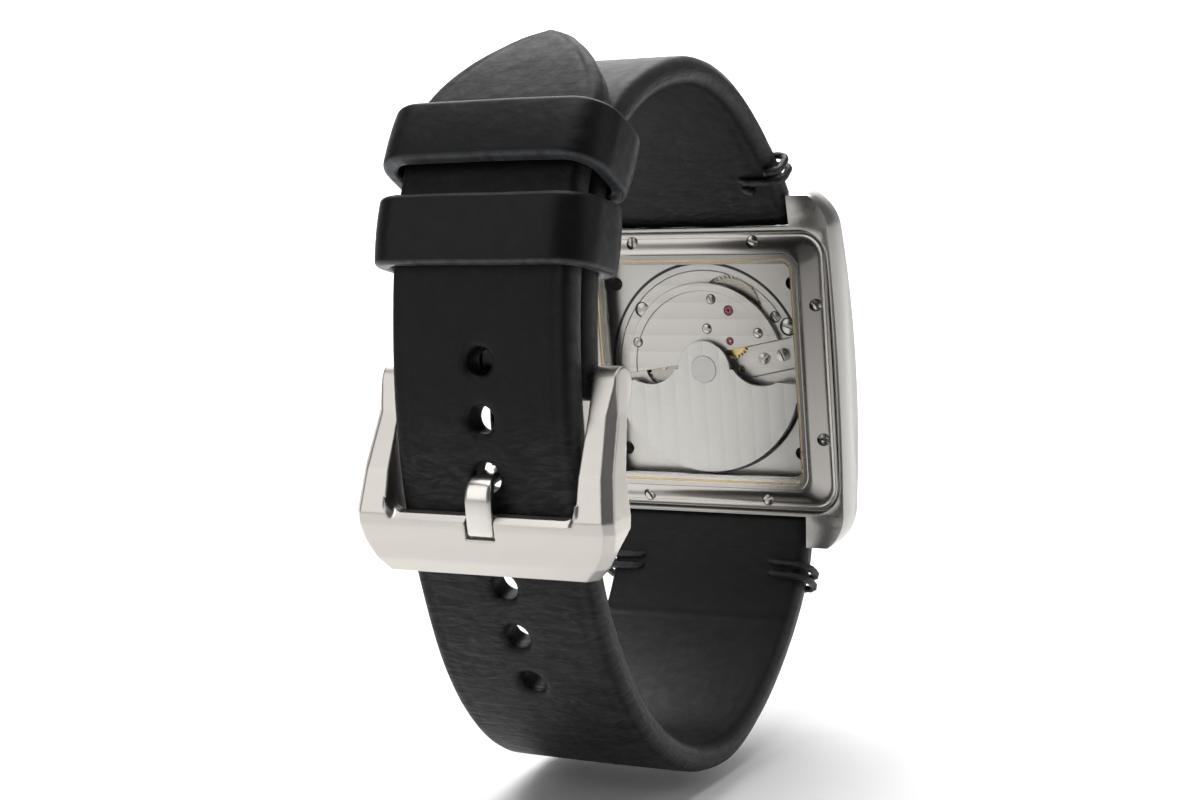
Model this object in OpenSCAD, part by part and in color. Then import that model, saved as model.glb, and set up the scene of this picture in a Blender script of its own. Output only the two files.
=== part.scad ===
// Rectangular self-winding wristwatch, buckled, with a window in its back.
// Frame: +X to 3 o'clock (crown), +Z to 12 o'clock, the dial faces -Y.
// The origin is the middle of the loop that the wrist fills.

/* [Case] */
// Width of the case across its flanks
case_w = 36.4; // [34:0.1:40]
// Length of the case body between its two end walls
case_l = 35; // [34.6:0.1:38]
// Length over the lug tips
lug_span = 44.2; // [43:0.1:48]
// Gap between a pair of lugs
lug_gap = 26.6; // [25:0.1:28]
// Plan radius of the case corners
case_corner_r = 5; // [3:0.1:6]
// Height of the brushed flank at mid length
flank_h = 5.4; // [5:0.1:7]
// Radius of the curved front of the case
front_curve_r = 70; // [50:1:140]
// Radius of the curved back of the case
back_curve_r = 157; // [100:1:300]
// Slope of the lug ends, run in Z over their height
lug_end_slope = 1; // [0.2:0.1:1.5]
// Side of the square room for the movement
cavity = 29.6; // [29:0.1:30.2]
// Distance of the wrist's axis behind the back's flank edge
wrist_y = 22; // [15:0.5:30]

/* [Bezel and front crystal] */
// Bezel width
bezel_w = 31.8; // [31.2:0.1:33]
// Bezel length
bezel_l = 34.4; // [33.6:0.1:34.8]
// Height of the bezel's front above the flank's front edge
bezel_h = 3.3; // [3:0.1:4]
// Bevel along the bezel's front edge
bezel_bevel = 0.8; // [0.3:0.1:1.2]
// Front crystal width
glass_w = 28; // [27:0.1:28.6]
// Front crystal length
glass_l = 30.6; // [29:0.1:31]
// Radius of the domed front of the crystal
glass_curve_r = 140; // [120:1:400]
// Thickness of the front crystal at its middle
glass_t = 1.4; // [1.2:0.1:1.8]

/* [Case back] */
// Case back width
back_w = 34.9; // [33.9:0.1:35.2]
// Case back length
back_l = 33.8; // [33.4:0.1:34]
// Corner radius of the case back
back_corner_r = 3; // [2:0.1:4]
// Height of the raised middle of the case back over its rim seat
back_t = 1.6; // [1.4:0.1:1.8]
// Window width in the case back
window_w = 26.6; // [25:0.1:27]
// Window length in the case back
window_l = 27.4; // [25:0.1:28]
// Thickness of the case back crystal
back_glass_t = 0.9; // [0.7:0.05:1]
// Distance from the middle to a screw, along its own side
back_screw_along = 8.1; // [6:0.1:11]
// Inset of a screw from the case back's edge
back_screw_inset = 1.35; // [1.2:0.05:1.5]
// Head radius of a case back screw
back_screw_r = 0.7; // [0.5:0.05:0.8]

/* [Crown] */
// Crown radius
crown_r = 2.8; // [2:0.1:3]
// Crown height
crown_h = 3.6; // [3:0.1:5]
// Flutes round the crown
crown_flutes = 24; // [12:1:36]
// Travel of the crown from winding to hand setting
crown_travel = 1; // [0.5:0.1:1.2]
// Stem radius
stem_r = 0.5; // [0.4:0.05:0.6]

/* [Dial and hands] */
// Side of the square dial
dial_side = 29; // [28:0.1:29.3]
// Hour hand length
hour_hand_l = 7.6; // [5:0.1:9]
// Minute hand length
minute_hand_l = 11; // [8:0.1:12]
// Seconds hand length
seconds_hand_l = 11.6; // [8:0.1:12]
// Hour shown
hour_shown = 10; // [0:1:11]
// Minute shown
minute_shown = 9; // [0:1:59]
// Second shown
second_shown = 36; // [0:1:59]

/* [Movement] */
// Radius of the movement
movement_r = 12.8; // [12.6:0.1:13]
// Radius of the swinging weight
rotor_r = 12.8; // [12:0.1:13]
// Radius of the round cut-out beside the weight's hub
rotor_cut_r = 4.3; // [3.5:0.1:4.6]
// Outer radius of the automatic bridge
auto_bridge_r = 10.6; // [9:0.1:10.7]
// Radius of the balance rim
balance_r = 4.1; // [3:0.1:4.2]
// Coils of the hairspring
hairspring_coils = 8; // [4:1:9]
// Coils of the mainspring
mainspring_coils = 7; // [4:1:9]

/* [Strap] */
// Strap width at the lugs
strap_w = 26; // [24:0.1:26.4]
// Strap width at the buckle
strap_tip_w = 22; // [20:0.1:23]
// Strap thickness
strap_t = 3.2; // [2.6:0.1:3.4]
// Height of the loop's middle line above the case middle
loop_top = 37.15; // [34:0.1:42]
// Depth of the loop's middle line below the case middle
loop_bottom = 39.5; // [36:0.1:44]
// Distance from the case to the buckle bar
buckle_y = 45; // [40:0.5:52]
// Height of the buckle bar over the case middle
buckle_z = 7; // [4:0.5:10]
// Radius of the adjustment holes
hole_r = 1.5; // [1.2:0.1:1.6]
// Spacing of the adjustment holes
hole_pitch = 6; // [5:0.1:8]
// Adjustment holes
hole_count = 7; // [5:1:8]
// Length of strap past the buckle bar
tail_l = 36.8; // [34:0.1:40]
// Length of the pointed end
point_l = 13; // [8:0.5:14]
// Length of the strap's end that springs up from the strap below
spring_l = 8.3; // [4:0.1:9]
// Height that the strap's end springs up
spring_h = 1.5; // [0:0.1:2]
// Thickness of the waxed thread
thread_d = 0.9; // [0.6:0.05:1]

/* [Keepers] */
// Height of the fixed keeper along the strap
fixed_keeper_h = 7.4; // [5:0.1:7.6]
// Height of the free keeper along the strap
free_keeper_h = 6.9; // [5:0.1:7]
// Leather thickness of a keeper
keeper_t = 1.9; // [1.4:0.1:2.4]
// Distance along the strap from the buckle bar to the fixed keeper
fixed_keeper_s = 14.7; // [12:0.1:14.8]
// Distance along the strap from the buckle bar to the free keeper
free_keeper_s = 23.25; // [23.2:0.05:24]
// Room round the two straps inside the free keeper
free_keeper_room = 0.65; // [0.65:0.05:0.8]

/* [Buckle] */
// Buckle outer width
buckle_w = 31.3; // [30:0.1:32]
// Buckle inner width
buckle_inner_w = 23; // [22.6:0.1:24]
// Height of the front bar
buckle_bar_h = 6.4; // [5:0.1:8]
// Thickness of the front bar
buckle_bar_t = 2.2; // [2:0.1:3]
// Width of the bevel along the buckle's outer edges
buckle_bevel = 0.9; // [0.4:0.1:1]
// Tang width
tang_w = 2.4; // [1.8:0.1:2.6]
// Tang width where it lies on the front bar
tang_tip_w = 3.2; // [2.6:0.1:3.6]
// How far the tang sinks into the front bar
tang_sink = 1.1; // [0.8:0.1:1.2]
// Radius of a spring bar
bar_r = 0.9; // [0.7:0.05:1]
// Radius of a spring bar's tips
bar_tip_r = 0.5; // [0.4:0.05:0.6]
// Travel of a sprung tip
tip_travel = 1; // [0.6:0.1:1.2]

/* [Hidden] */
$fn = 48;
round_fn = 360;
steel = "silver";
leather = "#26262a";
gold = "#c9a24b";
ruby = "#b01030";
eps = 0.01;
// Clearances: a light fit, a running fit and a loose gap
fit = 0.05;
run = 0.04;
loose = 0.3;

// Levels along Y, from the wrist side to the dial side
flank_back_y = -0.2;
flank_front_y = flank_back_y - flank_h;
back_seat_y = flank_back_y - 0.7;
back_top_y = back_seat_y + back_t;
back_glass_y = back_top_y - 0.2;
rotor_y = back_seat_y - 0.25;
rotor_web = 0.4;
rotor_rim = 1;
auto_y = rotor_y - 0.75;
auto_t = 0.35;
gear_y = auto_y - auto_t - 0.15;
gear_t = 0.2;
plate_y = rotor_y - rotor_rim - 0.2;
plate_t = 0.7;
low_plate_y = plate_y - 0.35;
train_y = plate_y - plate_t;
main_y = plate_y - 2;
main_t = 0.7;
works_y = main_y - main_t;
dial_y = works_y - 0.75;
dial_t = 0.4;
hand_t = 0.15;
hour_hand_y = dial_y - dial_t - 0.4;
minute_hand_y = hour_hand_y - 0.35;
seconds_hand_y = minute_hand_y - 0.35;
ledge_y = dial_y - dial_t - 1.1;
glass_y = ledge_y - 0.6;
glass_front_y = glass_y - glass_t;
bezel_front_y = flank_front_y - bezel_h;
stem_y = main_y + 0.55;
ratchet_y = plate_y - 0.33;
ratchet_t = 0.16;
rim_y = flank_back_y + 0.15;
screw_seat = 0.45;
tube_r = 1.2;
pivot_r = 0.12;
jewel_r = 0.38;
bridge_r = movement_r - 0.8;
works_stud_r = 0.15;
centre_tube_r = 0.26;
cannon_r = 0.44;
hour_tube_r = 0.7;

// Lug bars
lug_bar_y = -1.2;
roll_r = strap_t / 2 + 0.05;
lug_bar_z = case_l / 2 + loose + roll_r;
tip_hole_depth = 1.6;
bar_body_l = lug_gap - 0.3;

// Train places in the XZ plane, tooth counts and modules
centre = [0, 0];
barrel_at = [-3.5, 7.15];
barrel_m = 0.178;
barrel_z = 52;
second_pinion_z = 8;
second_at = barrel_at + polar(pitch_a(barrel_m, barrel_z, second_pinion_z), -97);
fourth_m = 0.13;
third_z = 45;
fourth_pinion_z = 6;
third_at = polar(pitch_a(fourth_m, third_z, fourth_pinion_z), 204);
second_z = 44;
third_pinion_z = 6;
second_m = 2 * norm(second_at - third_at) / (second_z + third_pinion_z);
drive_z = 48;
drive_pinion_z = 6;
drive_m = 2 * norm(third_at) / (drive_z + drive_pinion_z);
escape_m = 0.106;
fourth_z = 54;
escape_pinion_z = 6;
escape_at = polar(pitch_a(escape_m, fourth_z, escape_pinion_z), -46);
escape_teeth = 20;
escape_r = 1.85;
pallet_at = escape_at + polar(2.45, -56);
balance_at = escape_at + polar(4.95, -56);
ratchet_m = 0.18;
ratchet_z = 45;
idler_z = 40;
crown_wheel_z = 24;
idler_at = barrel_at + polar(pitch_a(ratchet_m, ratchet_z, idler_z), -14);
crown_reach = pitch_a(ratchet_m, idler_z, crown_wheel_z);
crown_wheel_at = [idler_at[0] + sqrt(crown_reach * crown_reach - idler_at[1] * idler_at[1]), 0];
stem_pinion_z = 10;
reverser_at = [-3.45, 3.4];
rotor_gear_z = 36;
reverser_z = 28;
rotor_m = 2 * norm(reverser_at) / (rotor_gear_z + reverser_z);
rotor_hole_r = rotor_m * rotor_gear_z / 2 + 0.35;
works_m = 0.166;
cannon_z = 10;
minute_wheel_z = 30;
minute_pinion_z = 8;
hour_z = 32;
minute_wheel_at = polar(pitch_a(works_m, cannon_z, minute_wheel_z), -60);

// Point at radius r and angle a, and the centre distance of two meshing gears
function polar(r, a) = [r * cos(a), r * sin(a)];
function pitch_a(m, z1, z2) = m * (z1 + z2) / 2;
function bearing_of(from, to) = atan2(to[1] - from[1], to[0] - from[0]);
// First tooth angle of a gear with z2 teeth that meets one with z1 teeth at angle a1
function mate(a1, z1, along, z2) = along + 180 + 180 / z2 - (a1 - along) * z1 / z2;

// Placing: a flat shape in X and Z made thick along Y, or one in Y and Z along X
module at_wrist() {
    translate([0, -wrist_y, 0]) children();
}

module across_y(back, front) {
    translate([0, back, 0]) rotate([90, 0, 0]) linear_extrude(back - front) children();
}

module across_x(width) {
    rotate([90, 0, 90]) translate([0, 0, -width / 2]) linear_extrude(width) children();
}

module rod_y(at, r, back, front) {
    translate([at[0], back, at[1]]) rotate([90, 0, 0]) cylinder(r = r, h = back - front);
}

module arbor(at, r, back, front) {
    translate([at[0], back, at[1]]) rotate([90, 0, 0]) cylinder(r = r, h = back - front, $fn = 12);
}

module rod_x(x0, x1, y, z, r) {
    translate([x0, y, z]) rotate([0, 90, 0]) cylinder(r = r, h = x1 - x0);
}

// Rounded rectangle with true arcs
module rrect(w, l, r) {
    square([w - 2 * r, l], center = true);
    square([w, l - 2 * r], center = true);
    for (sx = [-1, 1], sz = [-1, 1])
        translate([sx * (w / 2 - r), sz * (l / 2 - r)]) circle(r);
}

// Solid of everything behind a curved front whose middle is at y
module behind_curve(y, r) {
    translate([0, y + r, 0]) rotate([0, 90, 0])
        cylinder(r = r, h = 2 * case_w, center = true, $fn = round_fn);
}

// Gear outline: teeth taper from root to tip, first tooth at angle a0
module gear_2d(z, m, a0, add = 0.85, ded = 1.2, thick = 0.8) {
    r = m * z / 2;
    polygon([for (i = [0 : z - 1], k = [[-1, 0], [-1, 1], [1, 1], [1, 0]])
        polar(k[1] == 1 ? r + add * m : r - ded * m,
            a0 + i * 360 / z + k[0] * 90 / z * thick * (k[1] == 1 ? 0.55 : 1.25))]);
}

module gear(at, z, m, a0, back, t, bore = 0) {
    translate([at[0], 0, at[1]]) across_y(back, back - t) difference() {
        gear_2d(z, m, a0);
        if (bore > 0)
            circle(bore, $fn = 12);
    }
}

module pinion(at, z, m, a0, back, front) {
    translate([at[0], 0, at[1]]) across_y(back, front)
        gear_2d(z, m, a0, add = 0.45, ded = 1.35, thick = 0.62);
}

// Wheel with arms: gear outline with windows between its spokes
module spoked(at, z, m, a0, back, t, arms = 5, bore = 0.1) {
    r = m * z / 2;
    translate([at[0], 0, at[1]]) across_y(back, back - t) difference() {
        gear_2d(z, m, a0);
        for (i = [0 : arms - 1])
            rotate(i * 360 / arms) polygon([for (p = [[0.26, -20], [0.26, 20], [0.8, 27], [0.83, 9], [0.83, -9],
                [0.8, -27]]) polar(r * p[0], p[1] * 4.6 / arms + 180 / arms)]);
        circle(bore, $fn = 12);
    }
}

// The case middle: curved front and back, four lugs, bored for stem and bars
module case_middle() {
    color(steel) at_wrist() difference() {
        intersection() {
            across_y(3, -12) rrect(case_w, lug_span, case_corner_r);
            behind_curve(flank_front_y, front_curve_r);
            across_x(2 * case_w) lug_end_profile();
        }
        behind_curve(flank_back_y, back_curve_r);
        for (s = [-1, 1])
            translate([-lug_gap / 2, -15, s > 0 ? case_l / 2 : -lug_span])
                cube([lug_gap, 20, lug_span - case_l / 2]);
        across_y(3, -15) rrect(cavity, cavity, 2);
        across_y(3, back_seat_y) rrect(back_w + 2 * loose, back_l + 2 * loose - 0.1, back_corner_r + loose);
        at_back_screws() rod_y([0, 0], back_screw_r - 0.25, eps, -2.6);
        rod_x(cavity / 2 - 1, case_w, stem_y, 0, tube_r);
        for (sx = [-1, 1], sz = [-1, 1])
            rod_x(sx * (lug_gap / 2 + (sx < 0 ? tip_hole_depth : -0.5)),
                sx * (lug_gap / 2 + (sx < 0 ? -0.5 : tip_hole_depth)), lug_bar_y, sz * lug_bar_z, bar_tip_r + fit);
    }
}

// Side view of the sloped lug ends
module lug_end_profile() {
    tip = lug_span / 2;
    polygon([for (s = [1, -1]) each s > 0 ? [[-12, tip], [-2, tip], [3, tip - lug_end_slope * 1.4]]
        : [[3, -tip + lug_end_slope * 1.4], [-2, -tip], [-12, -tip]]]);
}

// Places one child at each case back screw, with Y = 0 at the case's seat
module at_back_screws() {
    for (s = [-1, 1], t = [-1, 1]) {
        translate([s * (back_w / 2 - back_screw_inset - 0.2), back_seat_y, t * back_screw_along]) children();
        translate([s * back_screw_along, back_seat_y, t * (back_l / 2 - back_screw_inset + 0.2)]) children();
    }
}

// Half section of the dished case back: rim, hollow slope, raised middle
module dish_profile(width, flat) {
    half = width / 2;
    right = [[half, back_seat_y], [half, rim_y - 0.3], [half - 0.12, rim_y - 0.08], [half - 0.4, rim_y],
        for (i = [0 : 6]) let (u = i / 6)
            [half - 0.7 - u * (half - 0.7 - flat), rim_y + (back_top_y - rim_y) * pow(u, 1.9)]];
    polygon(concat(right, [for (i = [len(right) - 1 : -1 : 0]) [-right[i][0], right[i][1]]]));
}

module caseback() {
    color(steel) at_wrist() difference() {
        intersection() {
            across_y(back_top_y, back_seat_y) rrect(back_w, back_l, back_corner_r);
            linear_extrude(2 * back_l, center = true) dish_profile(back_w, window_w / 2 + 0.5);
            across_x(2 * back_w) mirror([1, -1]) dish_profile(back_l, window_l / 2 + 0.6);
        }
        across_y(2, back_glass_y - back_glass_t) rrect(window_w, window_l, 1.3);
        across_y(2, -3) rrect(window_w - 1.4, window_l - 1.4, 1);
        at_back_screws() {
            rod_y([0, 0], back_screw_r + fit, 3, screw_seat);
            rod_y([0, 0], back_screw_r - 0.25, 3, -1);
        }
    }
}

module caseback_crystal() {
    color("lightblue", 0.35) at_wrist()
        across_y(back_glass_y, back_glass_y - back_glass_t) rrect(window_w - 0.5, window_l - 0.5, 1.1);
}

module caseback_crystal_gasket() {
    color(gold) at_wrist() across_y(back_glass_y + 0.05, back_glass_y - back_glass_t) difference() {
        rrect(window_w - 0.02, window_l - 0.02, 1.28);
        rrect(window_w - 0.48, window_l - 0.48, 1.1);
    }
}

// Flat rubber seal between the case back and its seat, inside the screws
module caseback_gasket() {
    color("dimgray") at_wrist() across_y(back_seat_y - 0.02, back_seat_y - 0.5) difference() {
        rrect(cavity - 0.04, cavity - 0.04, 2.1);
        rrect(cavity - 1, cavity - 1, 1.5);
    }
}

module slotted_screw(head_r, head_h, shank_r, shank_l) {
    difference() {
        rod_y([0, 0], head_r, head_h, 0);
        translate([-head_r, head_h / 2, -head_r / 7]) cube([2 * head_r, head_h, 2 * head_r / 7]);
    }
    rod_y([0, 0], shank_r, eps, -shank_l);
}

module caseback_screws() {
    color(steel) at_wrist() at_back_screws() translate([0, screw_seat, 0])
        slotted_screw(back_screw_r, 0.42, back_screw_r - 0.3, screw_seat + 2.4);
}

// Bezel: bevelled frame standing on the curved case front
module bezel() {
    color(steel) at_wrist() difference() {
        intersection() {
            across_y(-1, -20) rrect(bezel_w, bezel_l, 3);
            behind_curve(bezel_front_y, glass_curve_r);
            linear_extrude(2 * bezel_l, center = true) bevel_profile(bezel_w, 0);
            across_x(2 * bezel_w) mirror([1, -1]) bevel_profile(bezel_l, 0.6);
        }
        behind_curve(flank_front_y - fit / 2, front_curve_r);
        across_y(0, ledge_y) rrect(cavity, cavity, 2);
        across_y(0, -20) rrect(glass_w - 2.4, glass_l - 3, 1.2);
        across_y(glass_y, -20) rrect(glass_w + 0.7, glass_l + 0.7, 2.4);
    }
}

// Outline with bevels at its dial side corners
module bevel_profile(width, rise) {
    half = width / 2;
    front = bezel_front_y + rise;
    polygon([[-half, 0], [half, 0], [half, front + bezel_bevel], [half - bezel_bevel, front],
        [half - bezel_bevel, -20], [-half + bezel_bevel, -20], [-half + bezel_bevel, front],
        [-half, front + bezel_bevel]]);
}

module front_crystal() {
    color("lightblue", 0.35) at_wrist() intersection() {
        across_y(glass_y, -20) rrect(glass_w, glass_l, 2.1);
        behind_curve(glass_front_y, glass_curve_r);
    }
}

module front_crystal_gasket() {
    color("dimgray") at_wrist() across_y(glass_y, glass_y - 0.5) difference() {
        rrect(glass_w + 0.66, glass_l + 0.66, 2.38);
        rrect(glass_w + 0.06, glass_l + 0.06, 2.12);
    }
}

// Sloped ring that frames the dial
module rehaut_ring() {
    color("dimgray") at_wrist() difference() {
        across_y(dial_y - dial_t - 0.02, ledge_y + 0.02) rrect(dial_side + 0.4, dial_side + 0.4, 1.9);
        across_y(0, -20) rrect(glass_w - 2.4, dial_side - 2, 1.2);
    }
}

module dial() {
    color("#15161a") at_wrist() difference() {
        across_y(dial_y, dial_y - dial_t) rrect(dial_side, dial_side, 1.8);
        rod_y(centre, 0.9, 0, -20);
    }
}

// Twelve applied batons laid round the rectangular dial
module hour_markers() {
    color(steel) at_wrist() for (i = [0 : 11]) {
        a = 90 - i * 30;
        reach = min(11.6 / max(abs(cos(a)), eps), 12.2 / max(abs(sin(a)), eps), 13.6);
        long = i % 3 == 0 ? 3.2 : 2.2;
        across_y(dial_y - dial_t, dial_y - dial_t - 0.3) rotate(a) translate([reach - long, i % 3 == 0 ? -0.55 : -0.4])
            square([long, i % 3 == 0 ? 1.1 : 0.8]);
    }
}

// A hand: hub, tapered blade and counterweight, turned clockwise from 12
module hand(back, angle, reach, width, hub_r, bore_r, tail) {
    at_wrist() across_y(back, back - hand_t) difference() {
        union() {
            circle(hub_r);
            rotate(-angle) polygon([[-width * 0.32, -tail], [width * 0.32, -tail], [width / 2, reach * 0.62],
                [width * 0.12, reach], [-width * 0.12, reach], [-width / 2, reach * 0.62]]);
        }
        circle(bore_r);
    }
}

module hour_hand() {
    color(steel) hand(hour_hand_y, 30 * (hour_shown + minute_shown / 60), hour_hand_l, 1.5, 1.15, hour_tube_r + eps, 1.2);
}

module minute_hand() {
    color(steel) hand(minute_hand_y, 6 * (minute_shown + second_shown / 60), minute_hand_l, 1.2, 0.85, cannon_r + eps, 1.6);
}

module seconds_hand() {
    color("firebrick") hand(seconds_hand_y, 6 * second_shown, seconds_hand_l, 0.34, 0.55, pivot_r + eps, 3.4);
}

// A body turned about the stem's axis from an outline of radius against X
module turned_x(x0) {
    translate([x0, stem_y, 0]) rotate([0, 90, 0]) rotate_extrude() children();
}

crown_x = case_w / 2 + 0.25;

module crown() {
    color(steel) at_wrist() difference() {
        turned_x(crown_x) polygon([[0, crown_h], [crown_r * 0.62, crown_h], [crown_r * 0.86, crown_h - 0.2],
            [crown_r, crown_h - 0.6], [crown_r, 0.35], [crown_r - 0.35, 0], [0, 0]]);
        rod_x(crown_x - 1, crown_x + 1.9, stem_y, 0, tube_r + 0.45);
        rod_x(crown_x - 1, crown_x + crown_h - 0.8, stem_y, 0, stem_r + 0.01);
        for (i = [0 : crown_flutes - 1])
            translate([0, stem_y, 0]) rotate([i * 360 / crown_flutes, 0, 0])
                rod_x(crown_x - 1, crown_x + crown_h - 0.55, crown_r + 0.06, 0, 0.2);
    }
}

module crown_gasket() {
    color("dimgray") at_wrist() turned_x(crown_x + 0.6)
        polygon([[tube_r + run, 0], [tube_r + 0.43, 0], [tube_r + 0.43, 0.6], [tube_r + run, 0.6]]);
}

module crown_tube() {
    color(steel) at_wrist() turned_x(cavity / 2 - 0.3)
        polygon([[stem_r + run, 0], [tube_r - 0.01, 0], [tube_r - 0.01, crown_x - cavity / 2 + 1.9],
            [stem_r + run, crown_x - cavity / 2 + 1.9]]);
}

stem_pinion_x = crown_wheel_at[0] + ratchet_m * crown_wheel_z / 2;

module winding_stem() {
    color(steel) at_wrist() {
        rod_x(stem_pinion_x - 1.2, crown_x + crown_h - 0.85, stem_y, 0, stem_r);
        translate([stem_pinion_x, stem_y, 0]) rotate([90, 0, 90]) translate([0, 0, -0.6]) linear_extrude(1.2)
            gear_2d(stem_pinion_z, 2 * 0.84 / stem_pinion_z, 0, add = 0.5);
    }
}

// Movement: case ring, plates and bridges
module movement_ring() {
    color(steel) at_wrist() difference() {
        across_y(plate_y, works_y - 0.6) rrect(cavity - 2 * fit, cavity - 2 * fit, 1.9);
        across_y(0, -20) circle(bridge_r + 0.1);
        across_y(plate_y - 0.4, -20) circle(movement_r + 0.1);
        for (sx = [-1, 1], sz = [-1, 1]) rod_y([sx * 11.9, sz * 10.4], 0.8, 0, -20);
        for (s = clamp_screws) {
            rod_y([s[0], s[1]], s[2] + fit, 0, plate_y - 0.3);
            rod_y([s[0], s[1]], 0.3 + fit, 0, train_y - 0.2);
        }
        rod_x(0, cavity, stem_y, 0, tube_r + 0.2);
    }
}

// Edges between the bridges: barrel above train, train above escapement
upper_cut = [[-14, 4.4], [-3, 2.2], [1.2, 2.2], [3.5, 0.4], [3.5, -2.8], [14, -2.8]];
lower_cut = [[-14, 0.6], [-4.9, -1.31], [-4.1, -2.3], [1, -2.3], [1.9, -1.5], [3.3, -1.5], [3.3, -3], [14, -3]];
cut_gap = 0.1;

module above_cut(cut) {
    polygon(concat([[-14, 14]], cut, [[14, 14]]));
}

module train_2d() {
    intersection() {
        circle(bridge_r);
        polygon(concat([for (i = [0 : 3]) upper_cut[i] - [cut_gap, cut_gap]], [[3.4, -1.5]],
            [for (i = [4 : -1 : 0]) lower_cut[i]]));
    }
}

module main_plate() {
    color(steel) at_wrist() difference() {
        across_y(main_y, works_y) circle(movement_r);
        for (p = [second_at, escape_at, pallet_at, balance_at])
            rod_y(p, pivot_r + run, 0, -20);
        rod_y(third_at, 0.2, 0, -20);
        rod_y(barrel_at, 0.5 + run, 0, -20);
        rod_y(centre, centre_tube_r, 0, -20);
        translate([stem_pinion_x - 1.4, works_y - 1, -1.1]) cube([20, 2, 2.2]);
    }
    color(steel) at_wrist() {
        rod_y(minute_wheel_at, works_stud_r, works_y + eps, works_y - 0.65);
        difference() {
            rod_y(centre, centre_tube_r, main_y, minute_hand_y);
            rod_y(centre, pivot_r + run, 0, -20);
        }
    }
}

module barrel_bridge() {
    color(steel) at_wrist() difference() {
        union() {
            across_y(plate_y, train_y) difference() {
                intersection() {
                    circle(bridge_r);
                    above_cut(upper_cut);
                }
                circle(rotor_hole_r);
                translate(balance_at) circle(balance_r + 0.4);
                balance_bar_2d(0.15);
            }
            for (p = [[4.2, 9.6], [10.2, 3.5], [-10, 4.9]]) rod_y(p, 0.8, train_y + 0.1, main_y);
        }
        rod_y(reverser_at, rotor_m * reverser_z / 2 + loose, 0, gear_y - gear_t - fit);
        rod_y(barrel_at, ratchet_m * ratchet_z / 2 + 0.25, 0, ratchet_y - ratchet_t - fit);
        rod_y(idler_at, ratchet_m * idler_z / 2 + 0.25, 0, ratchet_y - ratchet_t - fit);
        rod_y(crown_wheel_at, ratchet_m * crown_wheel_z / 2 + 0.25, 0, ratchet_y - ratchet_t - fit);
        rod_y(barrel_at, 0.5 + run, 0, -20);
        translate([stem_pinion_x - 1.4, train_y - 1, -1.1]) cube([20, 1 + 0.25, 2.2]);
        for (s = concat(plate_screws, clamp_screws)) rod_y([s[0], s[1]], s[2] + fit, 0, plate_y - 0.3);
        for (s = concat(plate_screws, clamp_screws, auto_screws)) rod_y([s[0], s[1]], 0.3 + fit, 0, train_y - 0.2);
    }
    color(steel) at_wrist() for (p = [idler_at, crown_wheel_at])
        rod_y(p, 0.4, plate_y - 0.15, ratchet_y - ratchet_t - 0.1);
}

module train_bridge() {
    color(steel) at_wrist() difference() {
        union() {
            across_y(low_plate_y, train_y) train_2d();
            for (p = [[-11, 1.4], [-8.6, 0.35]]) rod_y(p, 0.8, low_plate_y - 0.2, main_y);
        }
        for (p = [second_at, third_at]) rod_y(p, jewel_r, 0, -20);
        rod_y([-4.43, -0.2], 0.42, 0, -20);
        rod_y(centre, pivot_r + run, 0, -20);
        for (s = low_screws) rod_y([s[0], s[1]], 0.3 + fit, 0, -20);
    }
}

// Bridge over the escapement, with a low cock under the balance for the pallet
module escapement_bridge() {
    color(steel) at_wrist() difference() {
        union() {
            across_y(low_plate_y, train_y) difference() {
                circle(bridge_r);
                translate([0, -cut_gap]) above_cut(lower_cut);
                translate(balance_at) circle(balance_r + 0.4);
                balance_bar_2d(0.15);
            }
            across_y(low_plate_y, train_y - 0.8) translate([-1.2, -7]) square([1, 2.8]);
            across_y(train_y - 0.5, train_y - 0.8) polygon([[-1.2, -6.6], [-1.2, -4.5],
                pallet_at + [-0.3, 0.55], pallet_at + [0.5, 0.2], pallet_at + [0.3, -0.6]]);
            for (p = [[-8.5, -6], [-3.4, -10]]) rod_y(p, 0.8, low_plate_y - 0.2, main_y);
        }
        rod_y(escape_at, jewel_r, 0, -20);
        rod_y(pallet_at, pivot_r + run, 0, -20);
        for (s = escape_screws) rod_y([s[0], s[1]], 0.3 + fit, 0, -20);
    }
}

balance_turn = bearing_of(centre, balance_at) + 90;
balance_foot = balance_r + 1.2;

module balance_bar_2d(grow) {
    translate(balance_at) rotate(balance_turn) {
        square([2 * balance_foot, 2.2 + 2 * grow], center = true);
        for (s = [-1, 1]) translate([s * balance_foot, 0]) circle(1.1 + grow);
    }
}

module balance_bridge() {
    color(steel) at_wrist() difference() {
        union() {
            across_y(plate_y, plate_y - 0.3) balance_bar_2d(0);
            for (s = [-1, 1])
                rod_y(balance_at + polar(s * balance_foot, balance_turn), 0.95, plate_y - 0.1, main_y);
        }
        rod_y(balance_at, jewel_r, 0, -20);
        for (s = balance_screws) rod_y([s[0], s[1]], 0.3 + fit, 0, -20);
    }
}

// Automatic bridge: a disc with a raised edge, cut along the train bridge's edge
module automatic_bridge() {
    color("gainsboro") at_wrist() difference() {
        union() {
            across_y(auto_y, auto_y - auto_t) automatic_2d();
            across_y(auto_y + 0.15, auto_y - 0.1) difference() {
                automatic_2d();
                circle(auto_bridge_r - 1);
            }
            for (s = auto_screws) rod_y([s[0], s[1]], 0.75, auto_y - 0.1, plate_y);
        }
        rod_y(reverser_at, jewel_r, 0, -20);
        rod_y(barrel_at, jewel_r + 0.12, 0, -20);
        for (s = auto_screws) rod_y([s[0], s[1]], s[2] + fit, 0, auto_y);
        for (s = concat(auto_screws, cover_screws)) rod_y([s[0], s[1]], 0.3 + fit, 0, -20);
    }
}

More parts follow.
